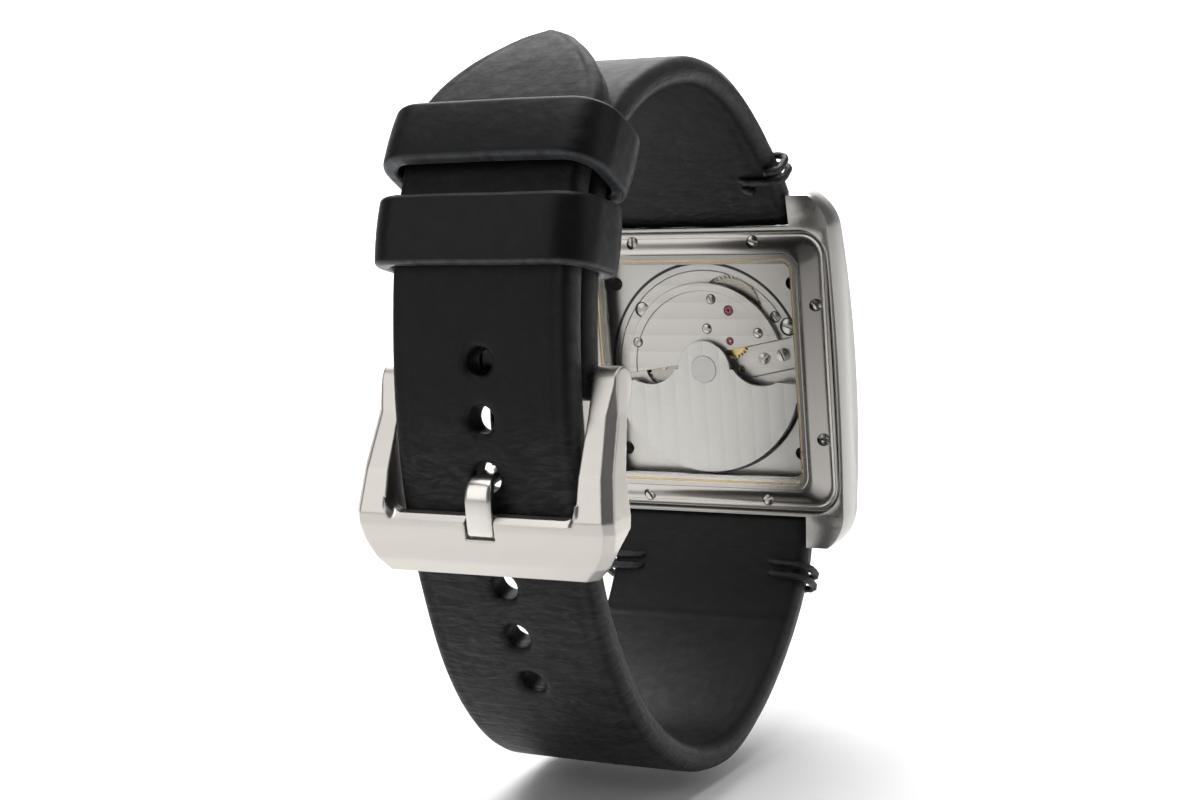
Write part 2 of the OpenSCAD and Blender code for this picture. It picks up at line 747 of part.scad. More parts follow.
module automatic_2d() {
    difference() {
        intersection() {
            circle(auto_bridge_r);
            polygon([[-14, 4.4], [-5, 2.62], [-2.9, 2.2], [0, 1], [3, 0.4], [14, -1.2], [14, 14], [-14, 14]]);
        }
        circle(rotor_hole_r);
    }
}

// Screws as [x, z, head radius], by the plate that each one holds
auto_screws = [[-7.28, 4.4, 0.55], [9.2, 3.2, 0.55]];
cover_screws = [[-1.23, 8.55, 0.55], [-0.44, 4.91, 0.55]];
plate_screws = [[-9.47, 6.32, 0.6], [8.6, 7.2, 0.85]];
clamp_screws = [[-11.14, 5.14, 1], [11.14, -5.14, 1]];
low_screws = [[-10.08, 1.66, 0.8], [-7.55, 1.14, 0.7]];
escape_screws = [[-8.5, -6, 0.8], [-3.4, -10, 0.8]];
balance_screws = [for (s = [-1, 1]) concat(balance_at + polar(s * balance_foot, balance_turn), [0.7])];

module screw_set(list, seat, head_h, depth) {
    for (s = list) translate([s[0], seat, s[1]]) slotted_screw(s[2], head_h, 0.3, depth);
}

module bridge_screws() {
    color(steel) at_wrist() {
        screw_set(auto_screws, auto_y, 0.12, auto_y - train_y - 0.1);
        screw_set(cover_screws, auto_y, 0.12, auto_t);
        screw_set(concat(plate_screws, clamp_screws), plate_y - 0.3, 0.25, 0.4);
        screw_set(low_screws, low_plate_y, 0.3, 0.34);
        screw_set(escape_screws, low_plate_y, 0.3, 0.9);
        screw_set(balance_screws, plate_y, 0.12, 0.9);
    }
}

module jewel(at, r, back, t) {
    translate([at[0], 0, at[1]]) across_y(back, back - t) difference() {
        circle(r - 0.01);
        circle(pivot_r + run);
    }
}

module jewels() {
    color(ruby) at_wrist() {
        jewel(reverser_at, jewel_r, auto_y, auto_t);
        jewel(barrel_at, jewel_r + 0.12, auto_y, auto_t);
        jewel(second_at, jewel_r, low_plate_y, 0.3);
        jewel(third_at, jewel_r, low_plate_y, 0.3);
        jewel(escape_at, jewel_r, low_plate_y, 0.3);
        jewel(balance_at, jewel_r, plate_y, 0.28);
    }
}

// Half disc weight with a heavy rim, two round cut-outs and a hub with its gear
module rotor_2d() {
    difference() {
        intersection() {
            circle(rotor_r);
            polygon([[-14, -14], [14, -14], [14, -1.84], [9.74, -1.47], [9, 0], [-9, 0], [-9.74, -1.47], [-14, -1.84]]);
        }
        for (s = [-1, 1]) translate([s * 7.6, 2.3]) circle(rotor_cut_r);
    }
    circle(3.5);
}

bearing_r = 1.7;
ball_r = 0.24;

module rotor() {
    color("lightgray") at_wrist() difference() {
        union() {
            across_y(rotor_y, rotor_y - rotor_web) rotor_2d();
            across_y(rotor_y, rotor_y - rotor_rim) difference() {
                rotor_2d();
                circle(rotor_r - 1.9);
            }
            rod_y(centre, 2.2, rotor_y - 0.1, gear_y - gear_t);
            across_y(gear_y, gear_y - gear_t) gear_2d(rotor_gear_z, rotor_m, 0);
        }
        rod_y(centre, bearing_r, 0, -20);
    }
}

// Post on the train bridge with the balls that the rotor turns on
module rotor_bearing() {
    color(steel) at_wrist() {
        post_r = bearing_r - 2 * ball_r - run;
        rod_y(centre, post_r, rotor_y - 0.45, low_plate_y);
        rod_y(centre, bearing_r - run, rotor_y + 0.05, rotor_y - 0.5);
        for (i = [0 : 8])
            translate([0, rotor_y - 0.95, 0]) rotate([0, i * 40, 0]) translate([post_r + ball_r - eps, 0, 0]) sphere(ball_r);
    }
}

module reverser_wheel() {
    color(gold) at_wrist() {
        gear(reverser_at, reverser_z, rotor_m, mate(0, rotor_gear_z, bearing_of(centre, reverser_at), reverser_z),
            gear_y, gear_t);
        arbor(reverser_at, pivot_r, auto_y - 0.05, gear_y - gear_t);
    }
}

// Winding wheels in their pockets of the barrel bridge
module ratchet_wheel() {
    color(steel) at_wrist() {
        gear(barrel_at, ratchet_z, ratchet_m, 0, ratchet_y, ratchet_t);
        arbor(barrel_at, 0.48, ratchet_y + 0.2, main_y - main_t + 0.1);
    }
}

idler_a0 = mate(0, ratchet_z, bearing_of(barrel_at, idler_at), idler_z);

module idler_wheel() {
    color(steel) at_wrist() gear(idler_at, idler_z, ratchet_m, idler_a0, ratchet_y, ratchet_t, 0.46);
}

module crown_wheel() {
    color(steel) at_wrist() gear(crown_wheel_at, crown_wheel_z, ratchet_m,
        mate(idler_a0, idler_z, bearing_of(idler_at, crown_wheel_at), crown_wheel_z), ratchet_y, ratchet_t, 0.46);
}

// Going train: barrel, second, third and fourth wheels
drum_r = barrel_m * barrel_z / 2 - 0.5;
drum_y = train_y - 0.37;
second_y = train_y - 0.07;

module barrel() {
    color(gold) at_wrist() translate([barrel_at[0], 0, barrel_at[1]]) difference() {
        union() {
            across_y(drum_y, main_y + 0.07) circle(drum_r);
            across_y(main_y + 0.3, main_y + 0.07) gear_2d(barrel_z, barrel_m, 0);
        }
        across_y(drum_y - 0.12, main_y + 0.17) circle(drum_r - 0.3);
        rod_y([0, 0], 0.48 + 2 * run, 0, -20);
    }
}

// Flat spiral ribbon from an inner to an outer radius
module spiral_2d(r0, r1, turns, thick, steps = 24) {
    n = turns * steps;
    polygon(concat([for (i = [0 : n]) polar(r0 + (r1 - r0) * i / n + thick / 2, i * 360 / steps)],
        [for (i = [n : -1 : 0]) polar(r0 + (r1 - r0) * i / n - thick / 2, i * 360 / steps)]));
}

module mainspring() {
    color("slategray") at_wrist() translate([barrel_at[0], 0, barrel_at[1]])
        across_y(drum_y - 0.17, main_y + 0.22) spiral_2d(1, drum_r - 0.4, mainspring_coils, 0.1);
}

second_a0 = mate(0, barrel_z, bearing_of(barrel_at, second_at), second_pinion_z);

module second_wheel() {
    color(gold) at_wrist() {
        pinion(second_at, second_pinion_z, barrel_m, second_a0, train_y - 0.62, main_y + 0.05);
        spoked(second_at, second_z, second_m, 0, second_y, 0.15);
        arbor(second_at, pivot_r, low_plate_y - 0.05, works_y + 0.1);
    }
}

third_a0 = mate(0, second_z, bearing_of(second_at, third_at), third_pinion_z);

module third_wheel() {
    color(gold) at_wrist() {
        pinion(third_at, third_pinion_z, second_m, third_a0, second_y + 0.04, second_y - 0.2);
        spoked(third_at, third_z, fourth_m, 0, train_y - 0.37, 0.15);
        arbor(third_at, pivot_r, low_plate_y - 0.05, works_y - 0.3);
        pinion(third_at, drive_pinion_z, drive_m, third_a0, works_y - 0.07, works_y - 0.3);
    }
}

fourth_a0 = mate(0, third_z, bearing_of(third_at, centre), fourth_pinion_z);

module fourth_wheel() {
    color(gold) at_wrist() {
        pinion(centre, fourth_pinion_z, fourth_m, fourth_a0, train_y - 0.3, train_y - 0.6);
        spoked(centre, fourth_z, escape_m, 0, train_y - 0.67, 0.15);
        arbor(centre, pivot_r, low_plate_y - 0.1, seconds_hand_y - hand_t - 0.05);
    }
}

module escape_wheel() {
    color(gold) at_wrist() {
        pinion(escape_at, escape_pinion_z, escape_m, mate(0, fourth_z, bearing_of(centre, escape_at), escape_pinion_z),
            train_y - 0.57, train_y - 0.9);
        translate([escape_at[0], 0, escape_at[1]]) across_y(train_y - 0.95, train_y - 1.07) difference() {
            polygon([for (i = [0 : escape_teeth - 1], p = [[0.76, 0], [0.8, 9], [1, 13], [1, 15], [0.78, 13]])
                polar(escape_r * p[0], (i + p[1] / 18) * 360 / escape_teeth)]);
            for (i = [0 : 3]) rotate(i * 90) polygon([for (p = [[0.3, -18], [0.3, 18], [0.62, 30], [0.62, -30]])
                polar(escape_r * p[0], p[1] + 45)]);
        }
        arbor(escape_at, pivot_r, low_plate_y - 0.05, works_y + 0.1);
    }
}

stone_reach = 2.04;

// Lever with two stones beside the escape wheel and a fork towards the balance
module pallet_fork() {
    to_balance = bearing_of(pallet_at, balance_at);
    to_wheel = norm(pallet_at - escape_at);
    color(steel) at_wrist() {
        translate([pallet_at[0], 0, pallet_at[1]]) across_y(train_y - 0.95, train_y - 1.1) rotate(to_balance) {
            polygon([[0.5, -0.22], [1.95, -0.14], [1.98, -0.3], [2, -0.1], [1.75, 0], [2, 0.1], [1.98, 0.3],
                [1.95, 0.14], [0.5, 0.22]]);
            circle(0.52, $fn = 12);
            for (s = [-1, 1]) polygon([[0.1, s * 0.5], [-to_wheel + stone_reach * cos(40) + 0.35, s * stone_reach * sin(40) * 1.06],
                [-to_wheel + stone_reach * cos(40), s * stone_reach * sin(40)],
                [-to_wheel + stone_reach * cos(40) + 0.1, s * stone_reach * sin(40) * 0.86], [-0.4, s * 0.3]]);
        }
        arbor(pallet_at, pivot_r, train_y - 0.6, works_y + 0.1);
    }
}

module balance_wheel() {
    color(gold) at_wrist() {
        translate([balance_at[0], 0, balance_at[1]]) {
            across_y(train_y, train_y - 0.3) difference() {
                circle(balance_r);
                circle(balance_r - 0.45);
            }
            across_y(train_y - 0.1, train_y - 0.25) for (i = [0 : 2]) rotate(i * 60)
                square([2 * balance_r - 0.6, 0.4], center = true);
            across_y(train_y - 0.5, train_y - 0.7) circle(0.55);
            rod_y(polar(0.42, balance_turn + 90), 0.07, train_y - 0.6, train_y - 1.1);
        }
        arbor(balance_at, 0.25, train_y - 0.05, train_y - 0.6);
        arbor(balance_at, pivot_r, plate_y - 0.05, works_y + 0.1);
        arbor(balance_at, 0.36, plate_y - 0.38, plate_y - 0.57);
    }
}

module hairspring() {
    color("steelblue") at_wrist() translate([balance_at[0], 0, balance_at[1]])
        across_y(plate_y - 0.4, plate_y - 0.55) spiral_2d(0.55, balance_r * 0.62, hairspring_coils, 0.05);
}

// Motion work under the dial
cannon_y = works_y - 0.32;

module cannon_pinion() {
    color(gold) at_wrist() {
        bore = centre_tube_r + run;
        spoked(centre, drive_z, drive_m, mate(third_a0, drive_pinion_z, bearing_of(third_at, centre), drive_z),
            works_y - 0.1, 0.15, 4, bore);
        difference() {
            union() {
                pinion(centre, cannon_z, works_m, 0, works_y - 0.24, cannon_y - 0.14);
                rod_y(centre, cannon_r, cannon_y, minute_hand_y - hand_t);
            }
            rod_y(centre, bore, 0, -20);
        }
    }
}

minute_a0 = mate(0, cannon_z, bearing_of(centre, minute_wheel_at), minute_wheel_z);

module minute_wheel() {
    color(gold) at_wrist() difference() {
        union() {
            gear(minute_wheel_at, minute_wheel_z, works_m, minute_a0, cannon_y - 0.02, 0.1);
            pinion(minute_wheel_at, minute_pinion_z, works_m, 0, cannon_y - 0.1, works_y - 0.66);
        }
        arbor(minute_wheel_at, works_stud_r + run, 0, -20);
    }
}

module hour_wheel() {
    color(gold) at_wrist() difference() {
        union() {
            gear(centre, hour_z, works_m, mate(0, minute_pinion_z, bearing_of(minute_wheel_at, centre), hour_z),
                works_y - 0.52, 0.12);
            rod_y(centre, hour_tube_r, works_y - 0.55, hour_hand_y - hand_t);
        }
        rod_y(centre, cannon_r + run, 0, -20);
    }
}

// Strap paths in the YZ plane, each with its length up to every point
buckle_at = [buckle_y, buckle_z];
layer_step = strap_t + loose;
path_steps = 16;
top_at = [21.26, loop_top];
bottom_at = [22.6, -loop_bottom];
// How far the curve leans on its tangents, from the lug to the buckle
top_reach = [9.9, 10.3, 17.5, 17.2];
bottom_reach = [8.7, 8.9, 20.15, 20.75];
short_path = concat(bezier([lug_bar_y, lug_bar_z], 59.5, top_reach[0], top_at, 0, top_reach[1], path_steps / 2),
    bezier(top_at, 0, top_reach[2], buckle_at, -85, top_reach[3], path_steps + 8, 1));
back_path = [for (i = [len(short_path) - 1 : -1 : 0]) short_path[i]];
fold_at = buckle_at + polar(layer_step, 5);
wrist_path = concat(bezier([lug_bar_y, -lug_bar_z], -81, bottom_reach[0], bottom_at, 0, bottom_reach[1], path_steps / 2),
    bezier(bottom_at, 0, bottom_reach[2], fold_at, 95, bottom_reach[3], path_steps + 4, 1));
tail_steps = 22;
long_path = concat(wrist_path, [for (i = [1 : tail_steps]) let (s = tail_l * i / tail_steps,
    rise = spring_h * pow(max(0, (s + spring_l - tail_l) / spring_l), 1.5))
    along(back_path, s) + polar(layer_step + rise, heading(back_path, s) - 90)]);
wrist_l = path_length(wrist_path);

function bezier(a, turn_a, reach_a, b, turn_b, reach_b, n, first = 0) =
    [for (i = [first : n]) let (t = i / n, u = 1 - t)
        u * u * u * a + 3 * t * u * u * (a + polar(reach_a, turn_a))
            + 3 * t * t * u * (b - polar(reach_b, turn_b)) + t * t * t * b];
function lengths(path) = [for (i = 0, s = 0; i < len(path);
    s = s + norm(path[min(i + 1, len(path) - 1)] - path[i]), i = i + 1) s];
function path_length(path) = lengths(path)[len(path) - 1];
function step_at(path, s) = max([for (k = [0 : len(path) - 2]) lengths(path)[k] <= s ? k : 0]);
function along(path, s) = let (all = lengths(path), k = step_at(path, s))
    path[k] + (path[k + 1] - path[k]) * (s - all[k]) / (all[k + 1] - all[k]);
// Direction of a path at length s, level with its neighbours' directions
function heading(path, s) = let (all = lengths(path), k = step_at(path, s), last = len(path) - 2,
    u = (s - all[k]) / (all[k + 1] - all[k]) - 0.5, here = bearing_of(path[k], path[k + 1]),
    j = max(0, min(last, k + (u < 0 ? -1 : 1))), near = bearing_of(path[j], path[j + 1]))
    here + nearest_turn(near - here) * abs(u);
function nearest_turn(a) = a > 180 ? a - 360 : a < -180 ? a + 360 : a;

// Rounded band swept along a path: widths is its width at every point
module band(path, widths, t) {
    c = t * 0.28;
    rings = [for (i = [0 : len(path) - 1]) let (a = bearing_of(path[max(i - 1, 0)], path[min(i + 1, len(path) - 1)]),
        w = widths[i] / 2) [for (p = [[-w, c - t / 2], [c - w, -t / 2], [w - c, -t / 2], [w, c - t / 2],
        [w, t / 2 - c], [w - c, t / 2], [c - w, t / 2], [-w, t / 2 - c]])
        [p[0], path[i][0] - p[1] * sin(a), path[i][1] + p[1] * cos(a)]]];
    tube_mesh(rings);
}

// Closed mesh through rings of equal point counts
module tube_mesh(rings) {
    n = len(rings[0]);
    last = len(rings) - 1;
    polyhedron(points = [for (ring = rings) each ring], faces = concat(
        [for (i = [0 : last - 1], k = [0 : n - 1]) [i * n + k, i * n + (k + 1) % n, (i + 1) * n + k]],
        [for (i = [0 : last - 1], k = [0 : n - 1]) [i * n + (k + 1) % n, (i + 1) * n + (k + 1) % n, (i + 1) * n + k]],
        [for (k = [1 : n - 2]) [0, k + 1, k]],
        [for (k = [1 : n - 2]) [last * n, last * n + k, last * n + k + 1]]));
}

function taper(s, from, to) = strap_w + (strap_tip_w - strap_w) * max(0, min(1, (s - from) / (to - from)));
function point_w(left) = left >= point_l ? strap_tip_w
    : strap_tip_w * (0.1 + 0.9 * (1 - pow(1 - left / point_l, 1.8)));

// Places a child on a path: its Z runs along the path, its Y points to the path's right
module on_path(path, s) {
    p = along(path, s);
    translate([0, p[0], p[1]]) rotate([heading(path, s) - 90, 0, 0]) children();
}

// Places of the adjustment holes, from the end that points up; the tang fills one
tang_drop = 9.6;
tang_hole_s = wrist_l - tang_drop;
hole_places = [for (i = [0 : hole_count - 1]) tang_hole_s + (2 - i) * hole_pitch];

module long_strap() {
    all = lengths(long_path);
    total = all[len(all) - 1];
    color(leather) at_wrist() difference() {
        union() {
            band(long_path, [for (s = all) s > total - point_l ? point_w(total - s) : taper(s, 4, wrist_l - 25)], strap_t);
            rod_x(-strap_w / 2, strap_w / 2, lug_bar_y, -lug_bar_z, roll_r);
        }
        rod_x(-strap_w, strap_w, lug_bar_y, -lug_bar_z, bar_r + fit);
        for (s = hole_places) on_path(long_path, s) rod_y([0, 0], s == tang_hole_s ? hole_r + 0.15 : hole_r, 5, -5);
        for (sx = [-1, 1]) stitch_slot(long_path, sx);
    }
}

module short_strap() {
    all = lengths(short_path);
    total = all[len(all) - 1];
    color(leather) at_wrist() difference() {
        union() {
            band(short_path, [for (s = all) taper(s, 4, total - 28)], strap_t);
            rod_x(-strap_w / 2, strap_w / 2, lug_bar_y, lug_bar_z, roll_r);
            rod_x(-strap_tip_w / 2, strap_tip_w / 2, buckle_y, buckle_z, roll_r);
        }
        rod_x(-strap_w, strap_w, lug_bar_y, lug_bar_z, bar_r + fit);
        rod_x(-strap_w, strap_w, buckle_y, buckle_z, bar_r + fit);
        translate([-tang_w / 2 - 0.4, buckle_y - 4, buckle_z - 4]) cube([tang_w + 0.8, 8, 7.5]);
        for (sx = [-1, 1]) stitch_slot(short_path, sx);
    }
}

// Lug stitches: a thread wound twice through a slot and round the strap's edge
stitch_s = 5.6;
stitch_x = 8.4;
stitch_pitch = thread_d + 0.55;
stitch_turns = 2;
stitch_steps = 24;
stitch_sides = 6;
stitch_half_w = (strap_w / 2 - stitch_x + thread_d) / 2;

module stitch_slot(path, sx) {
    on_path(path, stitch_s) translate([sx * stitch_x - thread_d * 0.75, -3, -stitch_turns * stitch_pitch / 2 - thread_d])
        cube([thread_d * 1.5, 6, stitch_turns * stitch_pitch + 2 * thread_d]);
}

function squared(v) = sign(v) * sqrt(abs(v));
function stitch_point(u) = let (a = 360 * u + 100)
    [stitch_x + stitch_half_w + (stitch_half_w) * squared(cos(a)), (strap_t / 2 + thread_d / 2 + 0.12) * squared(sin(a)),
        stitch_pitch * (u - stitch_turns / 2)];
stitch_points = [for (i = [0 : stitch_turns * stitch_steps - 2]) stitch_point(i / stitch_steps)];
stitch_gap = min([for (i = [0 : len(stitch_points) - 1], j = [i + stitch_steps / 2 : 1 : len(stitch_points) - 1])
    norm(stitch_points[i] - stitch_points[j])]) - thread_d;
echo(stitch_gap = stitch_gap);

module stitch() {
    last = len(stitch_points) - 1;
    rings = [for (i = [0 : last]) let (d = stitch_points[min(i + 1, last)] - stitch_points[max(i - 1, 0)],
        a = atan2(d[1], d[0]), out = [sin(a), -cos(a), 0]) [for (k = [0 : stitch_sides - 1])
        stitch_points[i] + thread_d / 2 * (cos(k * 60) * out + sin(k * 60) * [0, 0, 1])]];
    tube_mesh(rings);
}

module lug_stitches() {
    color("#111114") at_wrist() for (path = [short_path, long_path], sx = [-1, 1])
        on_path(path, stitch_s) mirror([sx > 0 ? 0 : 1, 0, 0]) stitch();
}

// Keeper: a closed leather loop round both straps
module keeper(s, tall, gap) {
    deep = strap_t + layer_step + 2 * gap;
    wide = strap_tip_w + 2 * gap;
    inner_r = 1;
    color(leather) at_wrist() on_path(back_path, s) translate([0, layer_step / 2, -tall / 2])
        linear_extrude(tall) difference() {
            rrect(wide + 2 * keeper_t, deep + 2 * keeper_t, inner_r + keeper_t);
            rrect(wide, deep, inner_r);
        }
}

module fixed_keeper() {
    keeper(fixed_keeper_s, fixed_keeper_h, loose);
}

module free_keeper() {
    keeper(free_keeper_s, free_keeper_h, free_keeper_room);
}

// Spring bars: a tube with a sprung tip in each end
module spring_bar(y, z, body_l) {
    color(steel) at_wrist() difference() {
        rod_x(-body_l / 2, body_l / 2, y, z, bar_r);
        for (s = [-1, 1]) rod_x(s < 0 ? -body_l : body_l / 2 - tip_in - tip_travel - 0.2,
            s < 0 ? -body_l / 2 + tip_in + tip_travel + 0.2 : body_l, y, z, bar_tip_r + fit);
    }
}

tip_in = 3;

module bar_tip(side, z) {
    color(steel) at_wrist() mirror([side > 0 ? 0 : 1, 0, 0]) {
        rod_x(bar_body_l / 2 - tip_in, lug_gap / 2 + tip_hole_depth - 0.2, lug_bar_y, z, bar_tip_r);
    }
}

module spring_bar_top() {
    spring_bar(lug_bar_y, lug_bar_z, bar_body_l);
}

module spring_bar_bottom() {
    spring_bar(lug_bar_y, -lug_bar_z, bar_body_l);
}

module bar_tip_top_left() {
    bar_tip(-1, lug_bar_z);
}

module bar_tip_top_right() {
    bar_tip(1, lug_bar_z);
}

module bar_tip_bottom_left() {
    bar_tip(-1, -lug_bar_z);
}

module bar_tip_bottom_right() {
    bar_tip(1, -lug_bar_z);
}

module spring_bar_buckle() {
    color(steel) at_wrist() {
        rod_x(-buckle_inner_w / 2 + 0.15, buckle_inner_w / 2 - 0.15, buckle_y, buckle_z, bar_r);
        rod_x(-buckle_inner_w / 2 - 1.6, buckle_inner_w / 2 + 1.6, buckle_y, buckle_z, bar_tip_r);
    }
}

// Buckle frame: two arms and a front bar, run through rows from the eyes down.
// A row is its depth below the eyes, its inset from the full width, and its front and back faces.
eye_r = 1.75;
bar_top_drop = 13;
bar_drop = bar_top_drop + buckle_bar_h;
bar_back = 5.2;
bar_front = bar_back + buckle_bar_t;
arm_rows = [
    [3, 1.1, bar_front - 4.3, 0.2], [8.6, 0.55, bar_front - 1.4, 2.3], [bar_top_drop, 0.05, bar_front, 2.9],
    [bar_top_drop + 1.3, 0, bar_front - 0.05, 3.2], [bar_drop - 3.2, 0.45, bar_front - 0.3, bar_back],
    [bar_drop - 1.4, 1.55, bar_front - 0.45, bar_back], [bar_drop, 2.9, bar_front - 1, bar_back]];
bar_rows = [for (r = arm_rows) if (r[0] >= bar_top_drop) [r[0], r[1], r[2], bar_back]];

module buckle_slab(row, inner) {
    half = buckle_w / 2 - row[1];
    translate([0, buckle_y, buckle_z - row[0]]) linear_extrude(eps) polygon([[inner, row[3]], [inner, row[2]],
        [half - buckle_bevel, row[2]], [half, row[2] - buckle_bevel], [half, row[3]]]);
}

module buckle_half() {
    inner = buckle_inner_w / 2;
    hull() {
        rod_x(inner, buckle_w / 2 - 1.4, buckle_y, buckle_z, eye_r);
        buckle_slab(arm_rows[0], inner);
    }
    for (i = [1 : len(arm_rows) - 1]) hull() {
        buckle_slab(arm_rows[i - 1], inner);
        buckle_slab(arm_rows[i], inner);
    }
    for (i = [1 : len(bar_rows) - 1]) hull() {
        buckle_slab(bar_rows[i - 1], -eps);
        buckle_slab(bar_rows[i], -eps);
    }
}

module buckle_frame() {
    color(steel) at_wrist() difference() {
        for (sx = [0, 1]) mirror([sx, 0, 0]) buckle_half();
        rod_x(-buckle_inner_w / 2 - 1.75, buckle_inner_w / 2 + 1.75, buckle_y, buckle_z, bar_tip_r + fit);
        translate([-tang_tip_w / 2 - 0.15, buckle_y + bar_front - tang_sink, buckle_z - bar_top_drop - 2.4])
            cube([tang_tip_w + 0.3, 3, 4]);
    }
}

// Tang: a loop on the bar, down between the straps, out through a hole and over the frame
module tang() {
    rest = bar_front - tang_sink + 0.1;
    wide_from = 5.3;
    color(steel) at_wrist() difference() {
        intersection() {
            across_x(tang_tip_w) translate(buckle_at) {
                circle(1.75);
                polygon([[-0.3, -1.4], [0.75, -4.2], [0.85, -7.9], [1.6, -9.5], [2.5, -9.75], [5.4, -10.05],
                    [rest - 0.4, -11], [rest, -12.6], [rest, -14.9], [rest + 0.9, -15], [rest + 1.15, -12.2],
                    [rest + 0.8, -9.9], [rest - 0.3, -8.85], [2.7, -8.65], [1.85, -8.45], [1.6, -7.4], [1.8, -4.2],
                    [1.5, -0.8]]);
            }
            translate([0, buckle_y, buckle_z - 20]) linear_extrude(40) polygon([[-tang_w / 2, -3], [tang_w / 2, -3],
                [tang_w / 2, wide_from], [tang_tip_w / 2, wide_from + 0.9], [tang_tip_w / 2, 12],
                [-tang_tip_w / 2, 12], [-tang_tip_w / 2, wide_from + 0.9], [-tang_w / 2, wide_from]]);
        }
        rod_x(-5, 5, buckle_y, buckle_z, bar_r + run);
    }
}

case_middle();
bezel();
front_crystal();
front_crystal_gasket();
rehaut_ring();
dial();
hour_markers();
hour_hand();
minute_hand();
seconds_hand();
caseback();
caseback_crystal();
caseback_crystal_gasket();
caseback_gasket();
caseback_screws();
crown();
crown_gasket();
crown_tube();
winding_stem();
movement_ring();
main_plate();
barrel_bridge();
train_bridge();
escapement_bridge();
balance_bridge();
automatic_bridge();
bridge_screws();
jewels();
rotor();
rotor_bearing();
reverser_wheel();
ratchet_wheel();
idler_wheel();
crown_wheel();
barrel();
mainspring();
second_wheel();
third_wheel();
fourth_wheel();
cannon_pinion();
minute_wheel();
hour_wheel();
escape_wheel();
pallet_fork();
balance_wheel();
hairspring();
long_strap();
short_strap();
lug_stitches();
fixed_keeper();
free_keeper();
spring_bar_top();
spring_bar_bottom();
spring_bar_buckle();
bar_tip_top_left();
bar_tip_top_right();
bar_tip_bottom_left();
bar_tip_bottom_right();
buckle_frame();
tang();
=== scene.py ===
from bisect import bisect_right
from math import asin, copysign, cos, exp, hypot, pi, radians, sin, sqrt

import bmesh
import bpy
from mathutils import Matrix, Vector, noise


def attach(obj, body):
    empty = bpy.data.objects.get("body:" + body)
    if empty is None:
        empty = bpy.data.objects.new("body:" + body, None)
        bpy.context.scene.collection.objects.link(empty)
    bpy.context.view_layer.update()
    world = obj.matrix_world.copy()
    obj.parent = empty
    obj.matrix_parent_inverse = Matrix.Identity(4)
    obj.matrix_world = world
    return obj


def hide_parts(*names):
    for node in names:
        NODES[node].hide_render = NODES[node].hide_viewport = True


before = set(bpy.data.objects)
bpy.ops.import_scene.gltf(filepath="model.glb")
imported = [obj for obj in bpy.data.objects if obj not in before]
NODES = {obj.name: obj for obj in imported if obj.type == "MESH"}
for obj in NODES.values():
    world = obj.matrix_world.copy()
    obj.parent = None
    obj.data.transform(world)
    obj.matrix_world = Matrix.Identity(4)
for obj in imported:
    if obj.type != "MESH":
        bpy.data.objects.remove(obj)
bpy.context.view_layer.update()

MM = 0.001
WRIST_Y = 22.0  # from the case's middle to the wrist's axis, in millimetres


def P(x, y, z):
    """A point given in millimetres from the case's middle, in metres in the shared frame."""
    return Vector((x, y - WRIST_Y, z)) * MM


def in_scene(name, data):
    """A new object in the scene."""
    obj = bpy.data.objects.new(name, data)
    bpy.context.scene.collection.objects.link(obj)
    return obj


def mesh_from(name, verts, faces):
    mesh = bpy.data.meshes.new(name)
    mesh.from_pydata(verts, [], faces)
    return mesh


def mesh_of(bm, name):
    """The mesh of a bmesh, which is freed."""
    mesh = bpy.data.meshes.new(name)
    bm.to_mesh(mesh)
    bm.free()
    return mesh


def face_outward(mesh, merge=0):
    """Turns all faces outward, after joining points nearer to each other than merge."""
    bm = bmesh.new()
    bm.from_mesh(mesh)
    if merge:
        bmesh.ops.remove_doubles(bm, verts=bm.verts, dist=merge)
    bmesh.ops.recalc_face_normals(bm, faces=bm.faces)
    bm.to_mesh(mesh)
    bm.free()


def tube_faces(count, n, base=0, closed=False):
    """Faces between rings of n points each; closed also joins the last ring to the first."""
    faces = []
    for i in range(count if closed else count - 1):
        a, b = base + i * n, base + (i + 1) % count * n
        faces += [(a + k, a + (k + 1) % n, b + (k + 1) % n, b + k) for k in range(n)]
    return faces


def rounded_outline(hx, hz, r, corner, sides):
    """Points x, z and their normals round a rounded rectangle: corner steps in each corner, and
    sides steps along its long and its short straights."""
    pts = []
    signs = ((1, 1), (-1, 1), (-1, -1), (1, -1))
    for k, (sx, sz) in enumerate(signs):
        for j in range(corner + 1):
            a = radians(90 * k + 90 * j / corner)
            pts.append((sx * (hx - r) + r * cos(a), sz * (hz - r) + r * sin(a), cos(a), sin(a)))
        tx, tz = signs[(k + 1) % 4]
        x0, z0 = pts[-1][:2]
        a = radians(90 * (k + 1))
        x1, z1 = tx * (hx - r) + r * cos(a), tz * (hz - r) + r * sin(a)
        for j in range(1, sides[k % 2]):
            t = j / sides[k % 2]
            pts.append((x0 + (x1 - x0) * t, z0 + (z1 - z0) * t, cos(a), sin(a)))
    return pts


# Camera
FOCAL_PX = 2285.5  # focal length in pixels of the photograph
IMAGE_W = 1200  # the photograph's width in pixels
SENSOR_W = 36
EYE = (-0.1251, 0.2230, 0.0456)  # the camera's place, in metres

cam_data = bpy.data.cameras.new("camera")
cam_data.sensor_width = SENSOR_W
cam_data.lens = SENSOR_W * FOCAL_PX / IMAGE_W
cam_data.clip_start = 0.01
cam_data.clip_end = 50
camera = in_scene("camera", cam_data)
forward = Vector((0.487, -0.856, -0.173)).normalized()
down = Vector((-0.020, 0.187, -0.982))
right = down.cross(forward).normalized()
up = right.cross(forward).normalized()
aim = Matrix((right, up, -forward)).transposed().to_4x4()
camera.matrix_world = Matrix.Translation(EYE) @ aim
bpy.context.scene.camera = camera


